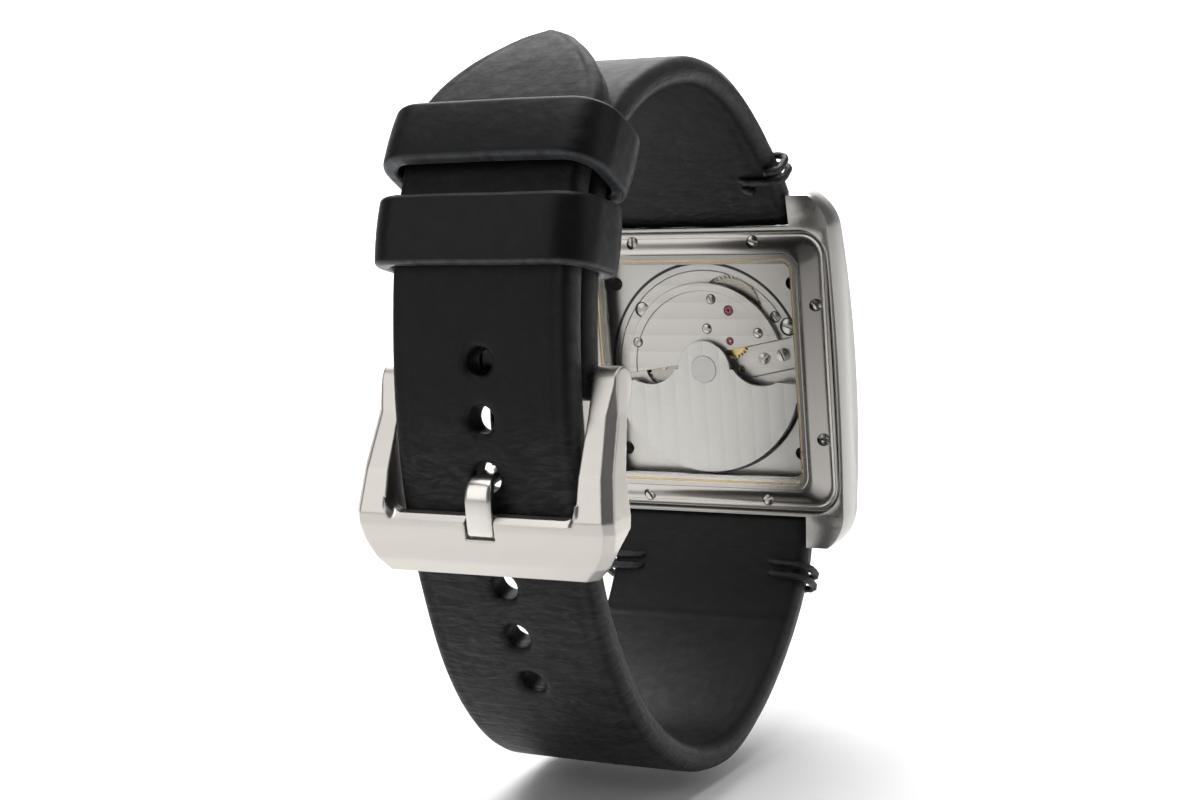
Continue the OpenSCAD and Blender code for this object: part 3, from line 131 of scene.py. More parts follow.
# Node materials
class Nodes:
    """Short calls for building a material's node tree."""

    def __init__(self, name):
        self.mat = bpy.data.materials.new(name)
        self.mat.use_nodes = True
        self.tree = self.mat.node_tree
        self.bsdf = self.tree.nodes["Principled BSDF"]
        self.coords = self.tree.nodes.new("ShaderNodeTexCoord").outputs["Object"]

    def node(self, kind, links=None, **values):
        n = self.tree.nodes.new(kind)
        for k, v in values.items():
            setattr(n, k, v)
        for k, v in (links or {}).items():
            self.put(n.inputs[k], v)
        return n

    def put(self, socket, value):
        if isinstance(value, bpy.types.NodeSocket):
            self.tree.links.new(value, socket)
        else:
            socket.default_value = value

    def set(self, **values):
        for k, v in values.items():
            self.put(self.bsdf.inputs[k.replace("_", " ")], v)

    def mapped(self, scale, coords=None):
        return self.node("ShaderNodeMapping", {"Vector": coords or self.coords, "Scale": scale}).outputs[0]

    def noise(self, scale, detail=3, rough=0.5, coords=None, distort=0):
        links = {"Vector": coords or self.coords, "Scale": scale, "Detail": detail, "Roughness": rough,
                 "Distortion": distort}
        return self.node("ShaderNodeTexNoise", links).outputs["Fac"]

    def voronoi(self, scale):
        links = {"Vector": self.coords, "Scale": scale}
        return self.node("ShaderNodeTexVoronoi", links).outputs["Distance"]

    def attribute(self, name):
        return self.node("ShaderNodeAttribute", attribute_name=name).outputs["Fac"]

    def vector_attribute(self, name):
        return self.node("ShaderNodeAttribute", attribute_name=name).outputs["Vector"]

    def math(self, op, a, b=0.0, clamp=False):
        return self.node("ShaderNodeMath", {0: a, 1: b}, operation=op, use_clamp=clamp).outputs[0]

    def mul(self, a, b, clamp=False):
        return self.math("MULTIPLY", a, b, clamp)

    def add(self, a, b):
        return self.math("ADD", a, b)

    def remap(self, value, a, b, c, d):
        links = {"Value": value, "From Min": a, "From Max": b, "To Min": c, "To Max": d}
        return self.node("ShaderNodeMapRange", links).outputs[0]

    def ramp(self, value, stops):
        n = self.node("ShaderNodeValToRGB", {"Fac": value})
        while len(n.color_ramp.elements) < len(stops):
            n.color_ramp.elements.new(0.5)
        for e, (at, rgb) in zip(n.color_ramp.elements, stops):
            e.position = at
            e.color = (*rgb, 1)
        return n.outputs["Color"]

    def mix(self, fac, a, b):
        """Blends two colours; the node's colour sockets are its inputs 6 and 7 and its output 2."""
        n = self.node("ShaderNodeMix", data_type="RGBA")
        self.put(n.inputs[0], fac)
        self.put(n.inputs[6], a if isinstance(a, bpy.types.NodeSocket) else (*a, 1))
        self.put(n.inputs[7], b if isinstance(b, bpy.types.NodeSocket) else (*b, 1))
        return n.outputs[2]

    def bump(self, height, distance, strength=1.0, after=None):
        links = {"Height": height, "Distance": distance, "Strength": strength}
        if after:
            links["Normal"] = after
        return self.node("ShaderNodeBump", links).outputs["Normal"]


def shade(rgb, factor):
    return tuple(min(1, c * factor) for c in rgb)


def metal(name, rgb, rough, grain=None, grain_depth=1.2e-6, spots=0.02):
    """Metal with a satin or brushed finish. grain is the brushing's scale, large across and small
    along; spots is how much rougher its worn spots are."""
    n = Nodes(name)
    broad = n.noise(60, 3)
    small = n.noise(2500, 4, 0.6)
    wear = n.mul(n.remap(small, 0.45, 0.8, 0, 1), spots)
    rough_out = n.add(n.remap(broad, 0.3, 0.7, rough * 0.93, rough * 1.07), wear)
    normal = n.bump(small, 5e-7)
    tone = broad
    if grain:
        lines = n.noise(1, 5, 0.75, coords=n.mapped(grain))
        normal = n.bump(lines, grain_depth, after=normal)
        rough_out = n.add(rough_out, n.remap(lines, 0.3, 0.7, -0.04, 0.04))
        tone = n.add(n.mul(broad, 0.5), n.mul(lines, 0.5))
    n.set(Base_Color=n.ramp(tone, [(0.35, shade(rgb, 0.98)), (0.65, shade(rgb, 1.02))]), Metallic=1.0,
          Roughness=rough_out, Normal=normal)
    return n.mat


ALONG_X = (60, 9000, 9000)
ALONG_Z = (9000, 9000, 60)
METALS = {
    "case_brushed": ((0.425, 0.412, 0.39), 0.30, ALONG_Z),
    "case_polished": ((0.70, 0.68, 0.66), 0.10, None, 0.0, 0.03),
    "caseback": ((0.50, 0.475, 0.445), 0.22, ALONG_Z),
    "screw": ((0.50, 0.48, 0.45), 0.2, ALONG_X, 2e-6, 0.1),
    "buckle": ((0.62, 0.585, 0.545), 0.33, ALONG_X, 6e-7),
    "tang": ((0.74, 0.71, 0.67), 0.22, ALONG_Z, 1e-6),
    "bar": ((0.55, 0.54, 0.52), 0.25, ALONG_X),
    "gold_ring": ((0.62, 0.47, 0.27), 0.28),
    "gilt": ((0.78, 0.58, 0.26), 0.24),
    "wheel_steel": ((0.50, 0.46, 0.40), 0.30, ALONG_X, 1.5e-6),
    "hand_steel": ((0.80, 0.79, 0.78), 0.12),
    "blued": ((0.06, 0.10, 0.26), 0.22),
    # Bevel metal of bridges and rotor, darker than their plate: painted shade that draws the polished edges
    # as dark lines.
    "edge_shade_line": ((0.30, 0.285, 0.265), 0.16),
    "plate_plain": ((0.74, 0.715, 0.685), 0.34, ALONG_X),
}
MATS = {name: metal(name, *look) for name, look in METALS.items()}


def striped_metal(name, rgb, pitch, rough, across="z", depth=1.2e-5):
    """Rhodium plate with broad engraved stripes and fine lathe marks along them; its colour runs from darker
    to lighter across each stripe, painted shade of the stripe's slope.
    """
    n = Nodes(name)
    parts = n.node("ShaderNodeSeparateXYZ", {0: n.coords}).outputs
    at, scale = (parts["Z"], (160, 12000, 12000)) if across == "z" else (parts["X"], (12000, 12000, 160))
    wobble = n.mul(n.noise(300, 2), 0.06)
    turns = n.add(n.math("DIVIDE", at, pitch), wobble)
    saw = n.math("FRACT", n.add(turns, 100.0))
    hump = n.mul(saw, n.math("SUBTRACT", 1.0, saw))
    lines = n.noise(1, 4, 0.7, coords=n.mapped(scale))
    tilt = n.add(hump, n.mul(lines, 0.05))
    broad = n.noise(140, 3)
    # Colour follows each stripe's profile: painted shade across the stripe, mixed with random broad tone.
    base = n.ramp(n.add(n.mul(saw, 0.75), n.mul(broad, 0.25)),
                  [(0.05, shade(rgb, 0.9)), (0.5, rgb), (0.95, shade(rgb, 1.06))])
    worn = n.add(lines, n.mul(saw, 0.4))
    n.set(Base_Color=base, Metallic=1.0, Roughness=n.remap(worn, 0.3, 1.1, rough * 0.8, rough * 1.25),
          Normal=n.bump(n.noise(1500, 4), 8e-7, after=n.bump(tilt, depth)))
    return n.mat


def ring_gap_shade_metal(name, rgb, rough, inner, outer):
    """Plain metal with a painted shadow: near-black in a ring round the movement's axis, standing in for the
    shade in the gap beside the rotor's rim.
    """
    n = Nodes(name)
    parts = n.node("ShaderNodeSeparateXYZ", {0: n.coords}).outputs
    x, z = parts["X"], parts["Z"]
    radius = n.math("SQRT", n.add(n.mul(x, x), n.mul(z, z)))
    soft = 6e-5
    # gap masks the ring of painted shadow beside the rotor's rim
    gap = n.mul(n.remap(radius, inner - soft, inner, 0, 1), n.remap(radius, outer, outer + soft, 1, 0))
    lines = n.noise(1, 4, 0.7, coords=n.mapped((160, 9000, 9000)))
    base = n.ramp(lines, [(0.3, shade(rgb, 0.95)), (0.7, rgb)])
    n.set(Base_Color=n.mix(n.mul(gap, 0.93), base, (0.01, 0.01, 0.01)), Metallic=1.0,
          Roughness=n.remap(lines, 0.3, 0.7, rough * 0.9, rough * 1.1), Normal=n.bump(lines, 1e-6))
    return n.mat


MATS["plate"] = striped_metal("plate", (0.70, 0.665, 0.63), 0.00205, 0.34)
MATS["rotor"] = striped_metal("rotor", (0.70, 0.675, 0.645), 0.0021, 0.34, across="x", depth=8e-6)
# The movement ring carries a painted shadow ring beside the rotor's rim.
MATS["movement_ring"] = ring_gap_shade_metal("movement_ring", (0.68, 0.65, 0.615), 0.32, 0.01282, 0.01312)


def plain_material(name, rgb, rough, bump_scale, bump_depth, vary=0.25, coat=0.0, coat_rough=0.03):
    n = Nodes(name)
    broad = n.noise(bump_scale * 0.15, 3)
    fine = n.noise(bump_scale, 5, 0.65)
    n.set(Base_Color=n.ramp(broad, [(0.3, shade(rgb, 1 - vary)), (0.7, shade(rgb, 1 + vary))]),
          Roughness=n.remap(fine, 0.3, 0.7, rough * 0.85, min(1, rough * 1.15)),
          Normal=n.bump(fine, bump_depth), Coat_Weight=coat, Coat_Roughness=coat_rough)
    return n.mat


PLAIN = {
    "rubber": ((0.02, 0.02, 0.022), 0.6, 4000, 4e-6),
    "rehaut": ((0.10, 0.10, 0.105), 0.4, 3000, 3e-6),
    "dial": ((0.012, 0.013, 0.017), 0.32, 6000, 2e-6, 0.25, 0.5, 0.12),
    "print": ((0.62, 0.62, 0.60), 0.5, 6000, 2e-6, 0.06),
    "seconds": ((0.42, 0.02, 0.015), 0.3, 5000, 1e-6, 0.25, 0.4),
    # near-black used only for the painted shade rings round screws and jewels
    "dark": ((0.012, 0.011, 0.01), 0.55, 4000, 2e-6),
    "ruby": ((0.42, 0.012, 0.07), 0.09, 2500, 1e-6, 0.25, 1.0, 0.04),
}
for name, look in PLAIN.items():
    MATS[name] = plain_material(name, *look)


def glass(name, tint, ior=1.45):
    n = Nodes(name)
    n.set(Base_Color=(*tint, 1), IOR=ior, Transmission_Weight=1.0,
          Roughness=n.remap(n.noise(400, 4, 0.7), 0.45, 0.8, 0.0, 0.05), Normal=n.bump(n.noise(120, 2), 4e-7))
    return n.mat


MATS["crystal"] = glass("crystal", (0.985, 0.995, 1.0))
MATS["back_crystal"] = glass("back_crystal", (0.99, 0.995, 0.99), 1.14)


FACE_LAY = 3.0  # third value of lay on a strap's outer face; the lining has its negative


def leather(name, rgb, worn, crease=1.0, grain=1.0, rough=0.5, wear_sheen_streaks=0.0, lining=0.0):
    """Thick waxed leather. Vector attribute lay holds place across, place along and side in millimetres;
    edge is 1 at worn edges; bend is 1 where the strap has been bent and is creased across, and where its
    crease ridges get grey streaks, partly wear and partly painted sheen."""
    n = Nodes(name)
    lay = n.vector_attribute("lay")
    edge = n.attribute("edge")
    bend = n.attribute("bend")
    broad = n.noise(0.2, 3, coords=lay)
    patch = n.noise(0.8, 4, 0.6, coords=lay)
    pores = n.voronoi(4300)
    fibre = n.noise(6500, 4, 0.6)
    swell = n.noise(1, 3, 0.5, coords=n.mapped((0.11, 0.7, 1), coords=lay), distort=0.8)
    fold = n.noise(1, 3, 0.5, coords=n.mapped((0.26, 0.8, 1), coords=lay), distort=2.0)
    fine = n.noise(1, 4, 0.6, coords=n.mapped((0.9, 2.6, 1), coords=lay), distort=1.8)
    side = n.node("ShaderNodeSeparateXYZ", {0: lay}).outputs["Z"]
    base = n.ramp(n.add(n.mul(broad, 0.6), n.mul(patch, 0.4)),
                  [(0.35, shade(rgb, 0.8)), (0.65, shade(rgb, 1.25))])
    base = n.mix(n.remap(side, -FACE_LAY, -2.5, lining, 0.0), base, (0.016, 0.0155, 0.015))
    ridge = n.mul(n.remap(fold, 0.40, 0.66, 0, 1), n.remap(fine, 0.35, 0.6, 0.4, 1))
    # Grey streaks on the crease ridges where the strap is bent: partly real wear, partly painted sheen where
    # the ridges catch the light.
    ridge_wear_and_sheen = n.mul(n.mul(ridge, bend), wear_sheen_streaks, clamp=True)
    base = n.mix(ridge_wear_and_sheen, base, shade(worn, 0.85))
    patchy = n.remap(n.noise(0.9, 4, 0.6, coords=lay), 0.3, 0.6, 0.45, 1)
    rim = n.mul(n.remap(edge, 0.2, 0.9, 0, 1), patchy, clamp=True)
    base = n.mix(rim, base, worn)
    rough_out = n.add(n.remap(patch, 0.35, 0.65, rough - 0.04, rough + 0.04), n.mul(rim, -0.08))
    normal = n.bump(pores, 1.6e-5 * grain, 0.5)
    normal = n.bump(fibre, 1e-5 * grain, 0.6, after=normal)
    normal = n.bump(n.mul(fine, bend), 8e-6 * crease, 0.7, after=normal)
    normal = n.bump(n.mul(fold, bend), 1.6e-4 * crease, 0.8, after=normal)
    normal = n.bump(n.mul(swell, bend), 4.5e-4 * crease, 0.8, after=normal)
    normal = n.bump(n.noise(0.5, 2, coords=lay), 2e-4, 0.5, after=normal)
    n.set(Base_Color=base, Specular_IOR_Level=0.22, Sheen_Weight=0.015, Sheen_Roughness=0.3,
          Roughness=rough_out, Normal=normal)
    return n.mat


# The strap's crease ridges carry streaks that are partly wear, partly painted sheen.
MATS["strap"] = leather("strap", (0.0034, 0.0036, 0.0038), (0.034, 0.0345, 0.0345), wear_sheen_streaks=1.0, lining=0.75)
MATS["keeper"] = leather("keeper", (0.0032, 0.0034, 0.0038), (0.055, 0.058, 0.064), crease=0.2, grain=0.4,
                         rough=0.44)


def thread_material():
    n = Nodes("thread")
    lay = n.vector_attribute("lay")
    wax = n.noise(1.3, 4, coords=lay)
    n.set(Base_Color=n.ramp(wax, [(0.35, (0.008, 0.008, 0.009)), (0.65, (0.022, 0.022, 0.024))]),
          Roughness=n.remap(wax, 0.35, 0.65, 0.42, 0.62), Specular_IOR_Level=0.5,
          Normal=n.bump(n.noise(14000, 4, 0.7), 2e-5, 0.6))
    return n.mat


MATS["thread"] = thread_material()


def floor_material():
    n = Nodes("floor_pale")
    n.set(Base_Color=n.ramp(n.noise(6, 3), [(0.3, (0.86, 0.86, 0.86)), (0.7, (0.885, 0.885, 0.885))]),
          Roughness=n.remap(n.noise(60, 3), 0.3, 0.7, 0.6, 0.75), Normal=n.bump(n.noise(700, 3), 2e-5, 0.2))
    return n.mat


# Pieces made from the CAD's shapes
def link(name, mesh, body, material, replaces=(), smooth=True):
    """A finished mesh as a named piece that rides on a body."""
    obj = in_scene(name, mesh)
    if smooth:
        for poly in mesh.polygons:
            poly.use_smooth = True
    mesh.materials.clear()
    mesh.materials.append(MATS[material])
    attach(obj, body)
    if replaces:
        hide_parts(*replaces)
    return obj


def applied(obj, name):
    """The mesh of obj with its modifiers applied."""
    deps = bpy.context.evaluated_depsgraph_get()
    mesh = bpy.data.meshes.new_from_object(obj.evaluated_get(deps))
    mesh.name = name
    return mesh


def drop_uv(bm):
    for layer in list(bm.loops.layers.uv):
        bm.loops.layers.uv.remove(layer)


def copy_node(node):
    """A copy of a CAD node's mesh with whole faces in place of its triangles."""
    bm = bmesh.new()
    bm.from_mesh(NODES[node].data)
    bmesh.ops.remove_doubles(bm, verts=bm.verts, dist=2e-7)
    drop_uv(bm)
    bmesh.ops.dissolve_limit(bm, angle_limit=radians(0.4), verts=bm.verts, edges=bm.edges)
    return mesh_of(bm, "tmp")


def bevelled(node, body, material, width, segments=2, angle=28, rim=None):
    """The CAD node's own shape with its sharp edges rounded; rim names the material of the bevels."""
    name = node + "_finished"
    tmp = in_scene("tmp", copy_node(node))
    m = tmp.modifiers.new("bevel", "BEVEL")
    m.width = width * MM
    m.segments = segments
    m.limit_method = "ANGLE"
    m.angle_limit = radians(angle)
    m.use_clamp_overlap = True
    if rim:
        m.material = 1
        tmp.data.materials.clear()
        tmp.data.materials.append(MATS[material])
        tmp.data.materials.append(MATS[rim])
    mesh = applied(tmp, name)
    kinds = [p.material_index for p in mesh.polygons]
    bpy.data.objects.remove(tmp)
    link(name, mesh, body, material, [node])
    if rim:
        mesh.materials.append(MATS[rim])
        mesh.polygons.foreach_set("material_index", kinds)
    mesh.set_sharp_from_angle(angle=radians(angle))


# Strap paths, as in the CAD
def polar(r, deg):
    return (r * cos(radians(deg)), r * sin(radians(deg)))


def bezier(a, turn_a, reach_a, b, turn_b, reach_b, n, first=0):
    ta, tb = polar(reach_a, turn_a), polar(reach_b, turn_b)
    c, d = (a[0] + ta[0], a[1] + ta[1]), (b[0] - tb[0], b[1] - tb[1])
    out = []
    for i in range(first, n + 1):
        t = i / n
        u = 1 - t
        out.append(tuple(u ** 3 * a[k] + 3 * t * u * u * c[k] + 3 * t * t * u * d[k] + t ** 3 * b[k]
                         for k in (0, 1)))
    return out


class Path:
    """A curve in the case's YZ plane, in millimetres, with its length."""

    def __init__(self, points):
        self.p = points
        self.s = [0.0]
        for a, b in zip(points, points[1:]):
            self.s.append(self.s[-1] + hypot(b[0] - a[0], b[1] - a[1]))
        self.length = self.s[-1]

    def at(self, s):
        """Point and direction at length s; before the start and past the end it runs on straight."""
        k = min(max(bisect_right(self.s, s) - 1, 0), len(self.s) - 2)
        (ay, az), (by, bz) = self.p[k], self.p[k + 1]
        span = self.s[k + 1] - self.s[k]
        u = (s - self.s[k]) / span
        d0 = self.direction(k)
        d1 = self.direction(k + 1)
        v = min(1, max(0, u))
        dy, dz = d0[0] + (d1[0] - d0[0]) * v, d0[1] + (d1[1] - d0[1]) * v
        n = hypot(dy, dz)
        return (ay + (by - ay) * u, az + (bz - az) * u), (dy / n, dz / n)

    def direction(self, i):
        a, b = self.p[max(i - 1, 0)], self.p[min(i + 1, len(self.p) - 1)]
        n = hypot(b[0] - a[0], b[1] - a[1])
        return ((b[0] - a[0]) / n, (b[1] - a[1]) / n)


STRAP_T = 3.2  # thickness
STRAP_W, TAIL_W = 26, 22  # at the lugs and at the buckle
STEP = 3.5  # between the middle lines of the two straps where they lie on each other
LUG_Z = 19.45
BUCKLE = (45.0, 7.0)
TOP, BOTTOM = (21.26, 37.15), (22.6, -39.5)
FOLD = (BUCKLE[0] + polar(STEP, 5)[0], BUCKLE[1] + polar(STEP, 5)[1])
SHORT = Path(bezier((-1.2, LUG_Z), 59.5, 9.9, TOP, 0, 10.3, 60)
             + bezier(TOP, 0, 17.5, BUCKLE, -85, 17.2, 120, 1))
BACK = Path(SHORT.p[::-1])
WRIST = (bezier((-1.2, -LUG_Z), -81, 8.7, BOTTOM, 0, 8.9, 60)
         + bezier(BOTTOM, 0, 20.15, FOLD, 95, 20.75, 120, 1))
TAIL_L = 36.8
SPRING_L, SPRING_H = 8.3, 1.5  # the free end springs up
POINT_L = 13  # length of the pointed end
TAIL_STEPS = 82
TAIL = []
for i in range(1, TAIL_STEPS + 1):
    reach = TAIL_L * i / TAIL_STEPS
    (y, z), (dy, dz) = BACK.at(reach)
    lift = STEP + SPRING_H * max(0, (reach + SPRING_L - TAIL_L) / SPRING_L) ** 1.5
    TAIL.append((y + dz * lift, z - dy * lift))
LONG = Path(WRIST + TAIL)
WRIST_L = Path(WRIST).length


# Leather bands
def smoothstep(a, b, x):
    t = min(1, max(0, (x - a) / (b - a)))
    return t * t * (3 - 2 * t)


def set_attributes(mesh, lay, edge=(), bend=()):
    """Stores what the leather and thread materials read; see leather()."""
    a = mesh.attributes.new("lay", "FLOAT_VECTOR", "POINT")
    a.data.foreach_set("vector", [v for p in lay for v in p])
    for name, values in (("edge", edge), ("bend", bend)):
        if values:
            a = mesh.attributes.new(name, "FLOAT", "POINT")
            a.data.foreach_set("value", values)


CELL = 0.4  # side of a grid cell
MID_HALF = 13  # cells of fixed size on either side of the middle
SIDE_STEPS = 13  # cells from there to the edge, which follow the width
HOLE_INNER, HOLE_OUTER = 3, 7  # cells from a hole's middle: left out, and bent round the hole
CUT, FAR = -1.0, 9.0  # stand for the distance past a hole's rim: in the hole, and away from holes
ROUND = 1.35  # rounding of the long edges
NOSE = 1.1  # rounding of blunt ends
GROOVE_IN = 1.75  # pressed line beside the edge
MIDDLE = [(k * CELL, 0.0) for k in range(-MID_HALF, MID_HALF + 1)]
SIDE = [(MID_HALF * CELL, j / SIDE_STEPS) for j in range(1, SIDE_STEPS + 1)]
COLS = [(-a, -b) for a, b in reversed(SIDE)] + MIDDLE + SIDE  # fixed part, share of the rest


def band(name, path, s0, s1, width, node, bend_at, holes=(), blunt=(True, True), seam_s=()):
    """Strap swept along a path: rounded edges, punched holes with drawn-in rims, faint waves.
    holes are (place, radius); blunt ends are rounded over their whole thickness."""
    rows_n = round((s1 - s0) / CELL)
    rows = [s0 + (s1 - s0) * i / rows_n for i in range(rows_n + 1)]
    lay, edge, bend, verts = [], [], [], []
    grid = {}
    hole_rows = []
    for s, r in holes:
        i = min(range(len(rows)), key=lambda k: abs(rows[k] - s))
        hole_rows.append((i, rows[i], r))

    def warp(x, s):
        """Moves grid points near a hole onto circles round it; returns x, s, distance past its rim."""
        for _, hs, r in hole_rows:
            dx, ds = x, s - hs
            m = max(abs(dx), abs(ds))
            inner, outer = HOLE_INNER * CELL, HOLE_OUTER * CELL
            if m < outer + 1e-6:
                if m < inner - 1e-6:
                    return x, s, CUT
                t = min(1.0, max(0.0, (m - inner) / (outer - inner)))
                norm = hypot(dx, ds) or 1
                k = (1 - t) ** 1.5
                px, ps = dx / norm * r, ds / norm * r
                x2, s2 = dx * (1 - k) + px * k * (1 + t * 0.6), ds * (1 - k) + ps * k * (1 + t * 0.6)
                return x2, hs + s2, hypot(x2, s2) - r
        return x, s, FAR

    def place(side, x, s, half_w, off=None):
        """Point on the outer (1) or inner (-1) face; off replaces the height over the middle line."""
        near_end = 1.0
        for is_blunt, left in ((blunt[0], s - s0), (blunt[1], s1 - s)):
            if is_blunt and left < NOSE:
                near_end = 0.35 + 0.65 * sqrt(max(0.0, 1 - (1 - left / NOSE) ** 2))
        e = max(0.0, half_w - abs(x))
        drop = 1.0 if e >= ROUND else 0.36 + 0.64 * sqrt(max(0.0, 1 - (1 - e / ROUND) ** 2))
        h = STRAP_T / 2 * drop * near_end if off is None else off
        if off is None:
            wave = (0.05 * noise.noise(Vector((x * 0.13, s * 0.16, side * 3.1 + 7)))
                    + 0.02 * noise.noise(Vector((x * 0.5, s * 0.6, side))))
            h += wave * near_end - 0.10 * exp(-((e - GROOVE_IN) / 0.22) ** 2)
            if side < 0:
                for seam in seam_s:
                    h -= 0.16 * exp(-((s - seam) / 0.28) ** 2)
        (y, z), (dy, dz) = path.at(s)
        return P(x, y + dz * side * h, z - dy * side * h)

    def add(side, x, s, half_w, dist, off=None):
        p = place(side, x, s, half_w, off)
        if off is None and dist < 3:
            _, (dy, dz) = path.at(s)
            dip = 0.42 * exp(-max(dist, 0) / 0.22) + 0.05 * exp(-max(dist, 0) / 0.9)
            p -= Vector((0, dz * side * dip, -dy * side * dip)) * MM
        verts.append(p)
        lay.append((x, s, side * FACE_LAY))
        e = max(0.0, half_w - abs(x))
        worn = max(0.0, 1 - e / 0.75)
        if not blunt[1]:
            worn = max(worn, 1 - max(0.0, s1 - s) / 0.7)
        edge.append(min(1, worn))
        bend.append(bend_at(s) * (1 if side > 0 else 0.55))
        return len(verts) - 1

    for i, s in enumerate(rows):
        hw = width(s) / 2
        for c, (a, b) in enumerate(COLS):
            for side in (1, -1):
                x, s2, dist = warp(a, s) if b == 0 else (a, s, FAR)
                if dist == CUT:
                    continue
                mid_w = MID_HALF * CELL
                if b:
                    x = a + b * (hw - mid_w) if hw > mid_w else copysign(hw, b)
                elif hw < mid_w:
                    x = a * hw / mid_w
                grid[i, c, side] = add(side, x, s2, hw, dist)
    faces = []
    last_c = len(COLS) - 1
    mid_c = last_c // 2
    for i in range(len(rows) - 1):
        for c in range(last_c):
            if -HOLE_INNER <= c - mid_c < HOLE_INNER and any(-HOLE_INNER <= i - hi < HOLE_INNER
                                                             for hi, _, _ in hole_rows):
                continue
            for side in (1, -1):
                q = (grid[i, c, side], grid[i, c + 1, side], grid[i + 1, c + 1, side], grid[i + 1, c, side])
                faces.append(q[::side])
        for c, flip in ((0, False), (last_c, True)):
            q = (grid[i, c, 1], grid[i + 1, c, 1], grid[i + 1, c, -1], grid[i, c, -1])
            faces.append(q[::-1] if flip else q)
    for i, flip in ((0, True), (len(rows) - 1, False)):
        for c in range(last_c):
            q = (grid[i, c, 1], grid[i, c + 1, 1], grid[i, c + 1, -1], grid[i, c, -1])
            faces.append(q[::-1] if flip else q)
    for hi, hs, r in hole_rows:
        walk = range(-HOLE_INNER, HOLE_INNER)
        ring = [(hi + di, mid_c + dc) for di, dc in
                [(-HOLE_INNER, k) for k in walk] + [(k, HOLE_INNER) for k in walk]
                + [(HOLE_INNER, -k) for k in walk] + [(-k, -HOLE_INNER) for k in walk]]
        loops = [[grid[i, c, 1] for i, c in ring]]
        depth = STRAP_T / 2 - 0.75
        for k in range(1, 4):
            off = depth * (1 - k / 2)
            row = []
            for i, c in ring:
                x, s2, _ = warp(COLS[c][0], rows[i])
                verts.append(place(1, x * 1.02, hs + (s2 - hs) * 1.02, TAIL_W / 2, off))
                lay.append((x, s2, off * 3))
                edge.append(0.0)
                bend.append(0.0)
                row.append(len(verts) - 1)
            loops.append(row)
        loops.append([grid[i, c, -1] for i, c in ring])
        n = len(ring)
        for a, b in zip(loops, loops[1:]):
            for k in range(n):
                faces.append((a[k], b[k], b[(k + 1) % n], a[(k + 1) % n]))
    mesh = mesh_from(name, verts, faces)
    set_attributes(mesh, lay, edge, bend)
    face_outward(mesh, 1e-6)
    return link(name, mesh, "case", "strap", [node])


def taper(s, start, end):
    return STRAP_W + (TAIL_W - STRAP_W) * min(1, max(0, (s - start) / (end - start)))


def long_width(s):
    left = LONG.length - s
    w = taper(s, 4, WRIST_L - 25)
    if left < POINT_L:
        u = max(0.0, left / POINT_L)
        w = TAIL_W * (0.15 * min(1, max(0.0, left + 0.08) / 1.6) ** 0.5 + 0.85 * (1 - (1 - u) ** 1.85))
    return w


def long_bend(s):
    """Creases across the strap: strongest round the holes and where it passes the buckle."""
    near_buckle = 0.35 * exp(-((s - TANG_S) / 5.0) ** 2)
    near_holes = 0.7 * smoothstep(30, 55, s) * (1 - smoothstep(80, 92, s))
    return 0.06 + near_holes + 0.35 * (1 - smoothstep(0, 14, s)) + near_buckle


def short_bend(s):
    return (0.12 + 0.5 * (1 - smoothstep(0, 16, s))
            + 0.4 * smoothstep(SHORT.length - 14, SHORT.length - 4, s))


TANG_S = WRIST_L - 9.6  # where the tang passes the long strap
HOLE_PITCH = 6.0
HOLES = [(TANG_S + (2 - i) * HOLE_PITCH, 1.65 if i == 2 else 1.5) for i in range(7)]
END_PAST = 1.85  # the leather runs on past its bar


def notch(obj, x_half, y0, y1, z0, z1):
    """Cuts a box-shaped slot out of a piece."""
    bm = bmesh.new()
    bmesh.ops.create_cube(bm, size=1)
    bm.transform(Matrix.Diagonal((2 * x_half * MM, (y1 - y0) * MM, (z1 - z0) * MM, 1)))
    bm.transform(Matrix.Translation(P(0, (y0 + y1) / 2, (z0 + z1) / 2)))
    bmesh.ops.bevel(bm, geom=bm.edges, offset=0.4 * MM, segments=3, affect="EDGES", profile=0.5)
    cut = in_scene("cutter", mesh_of(bm, "cutter"))
    m = obj.modifiers.new("cut", "BOOLEAN")
    m.operation, m.solver, m.object = "DIFFERENCE", "EXACT", cut
    new = applied(obj, obj.name)
    obj.modifiers.clear()
    obj.data = new
    bpy.data.objects.remove(cut)


def snap(s, ref):
    """The nearest whole number of cells from ref."""
    return ref + round((s - ref) / CELL) * CELL


long_start = snap(-END_PAST, TANG_S)
long_end = snap(LONG.length, TANG_S)
band("long_strap_leather", LONG, long_start, long_end, long_width, "long_strap", long_bend, HOLES,
     blunt=(True, False), seam_s=(12.5,))
short = band("short_strap_leather", SHORT, -END_PAST, SHORT.length + END_PAST,
             lambda s: taper(s, 4, SHORT.length - 28), "short_strap", short_bend,
             seam_s=(9.5, SHORT.length - 22))
notch(short, 1.6, 41, 49, 3, 10.5)  # room for the tang's loop


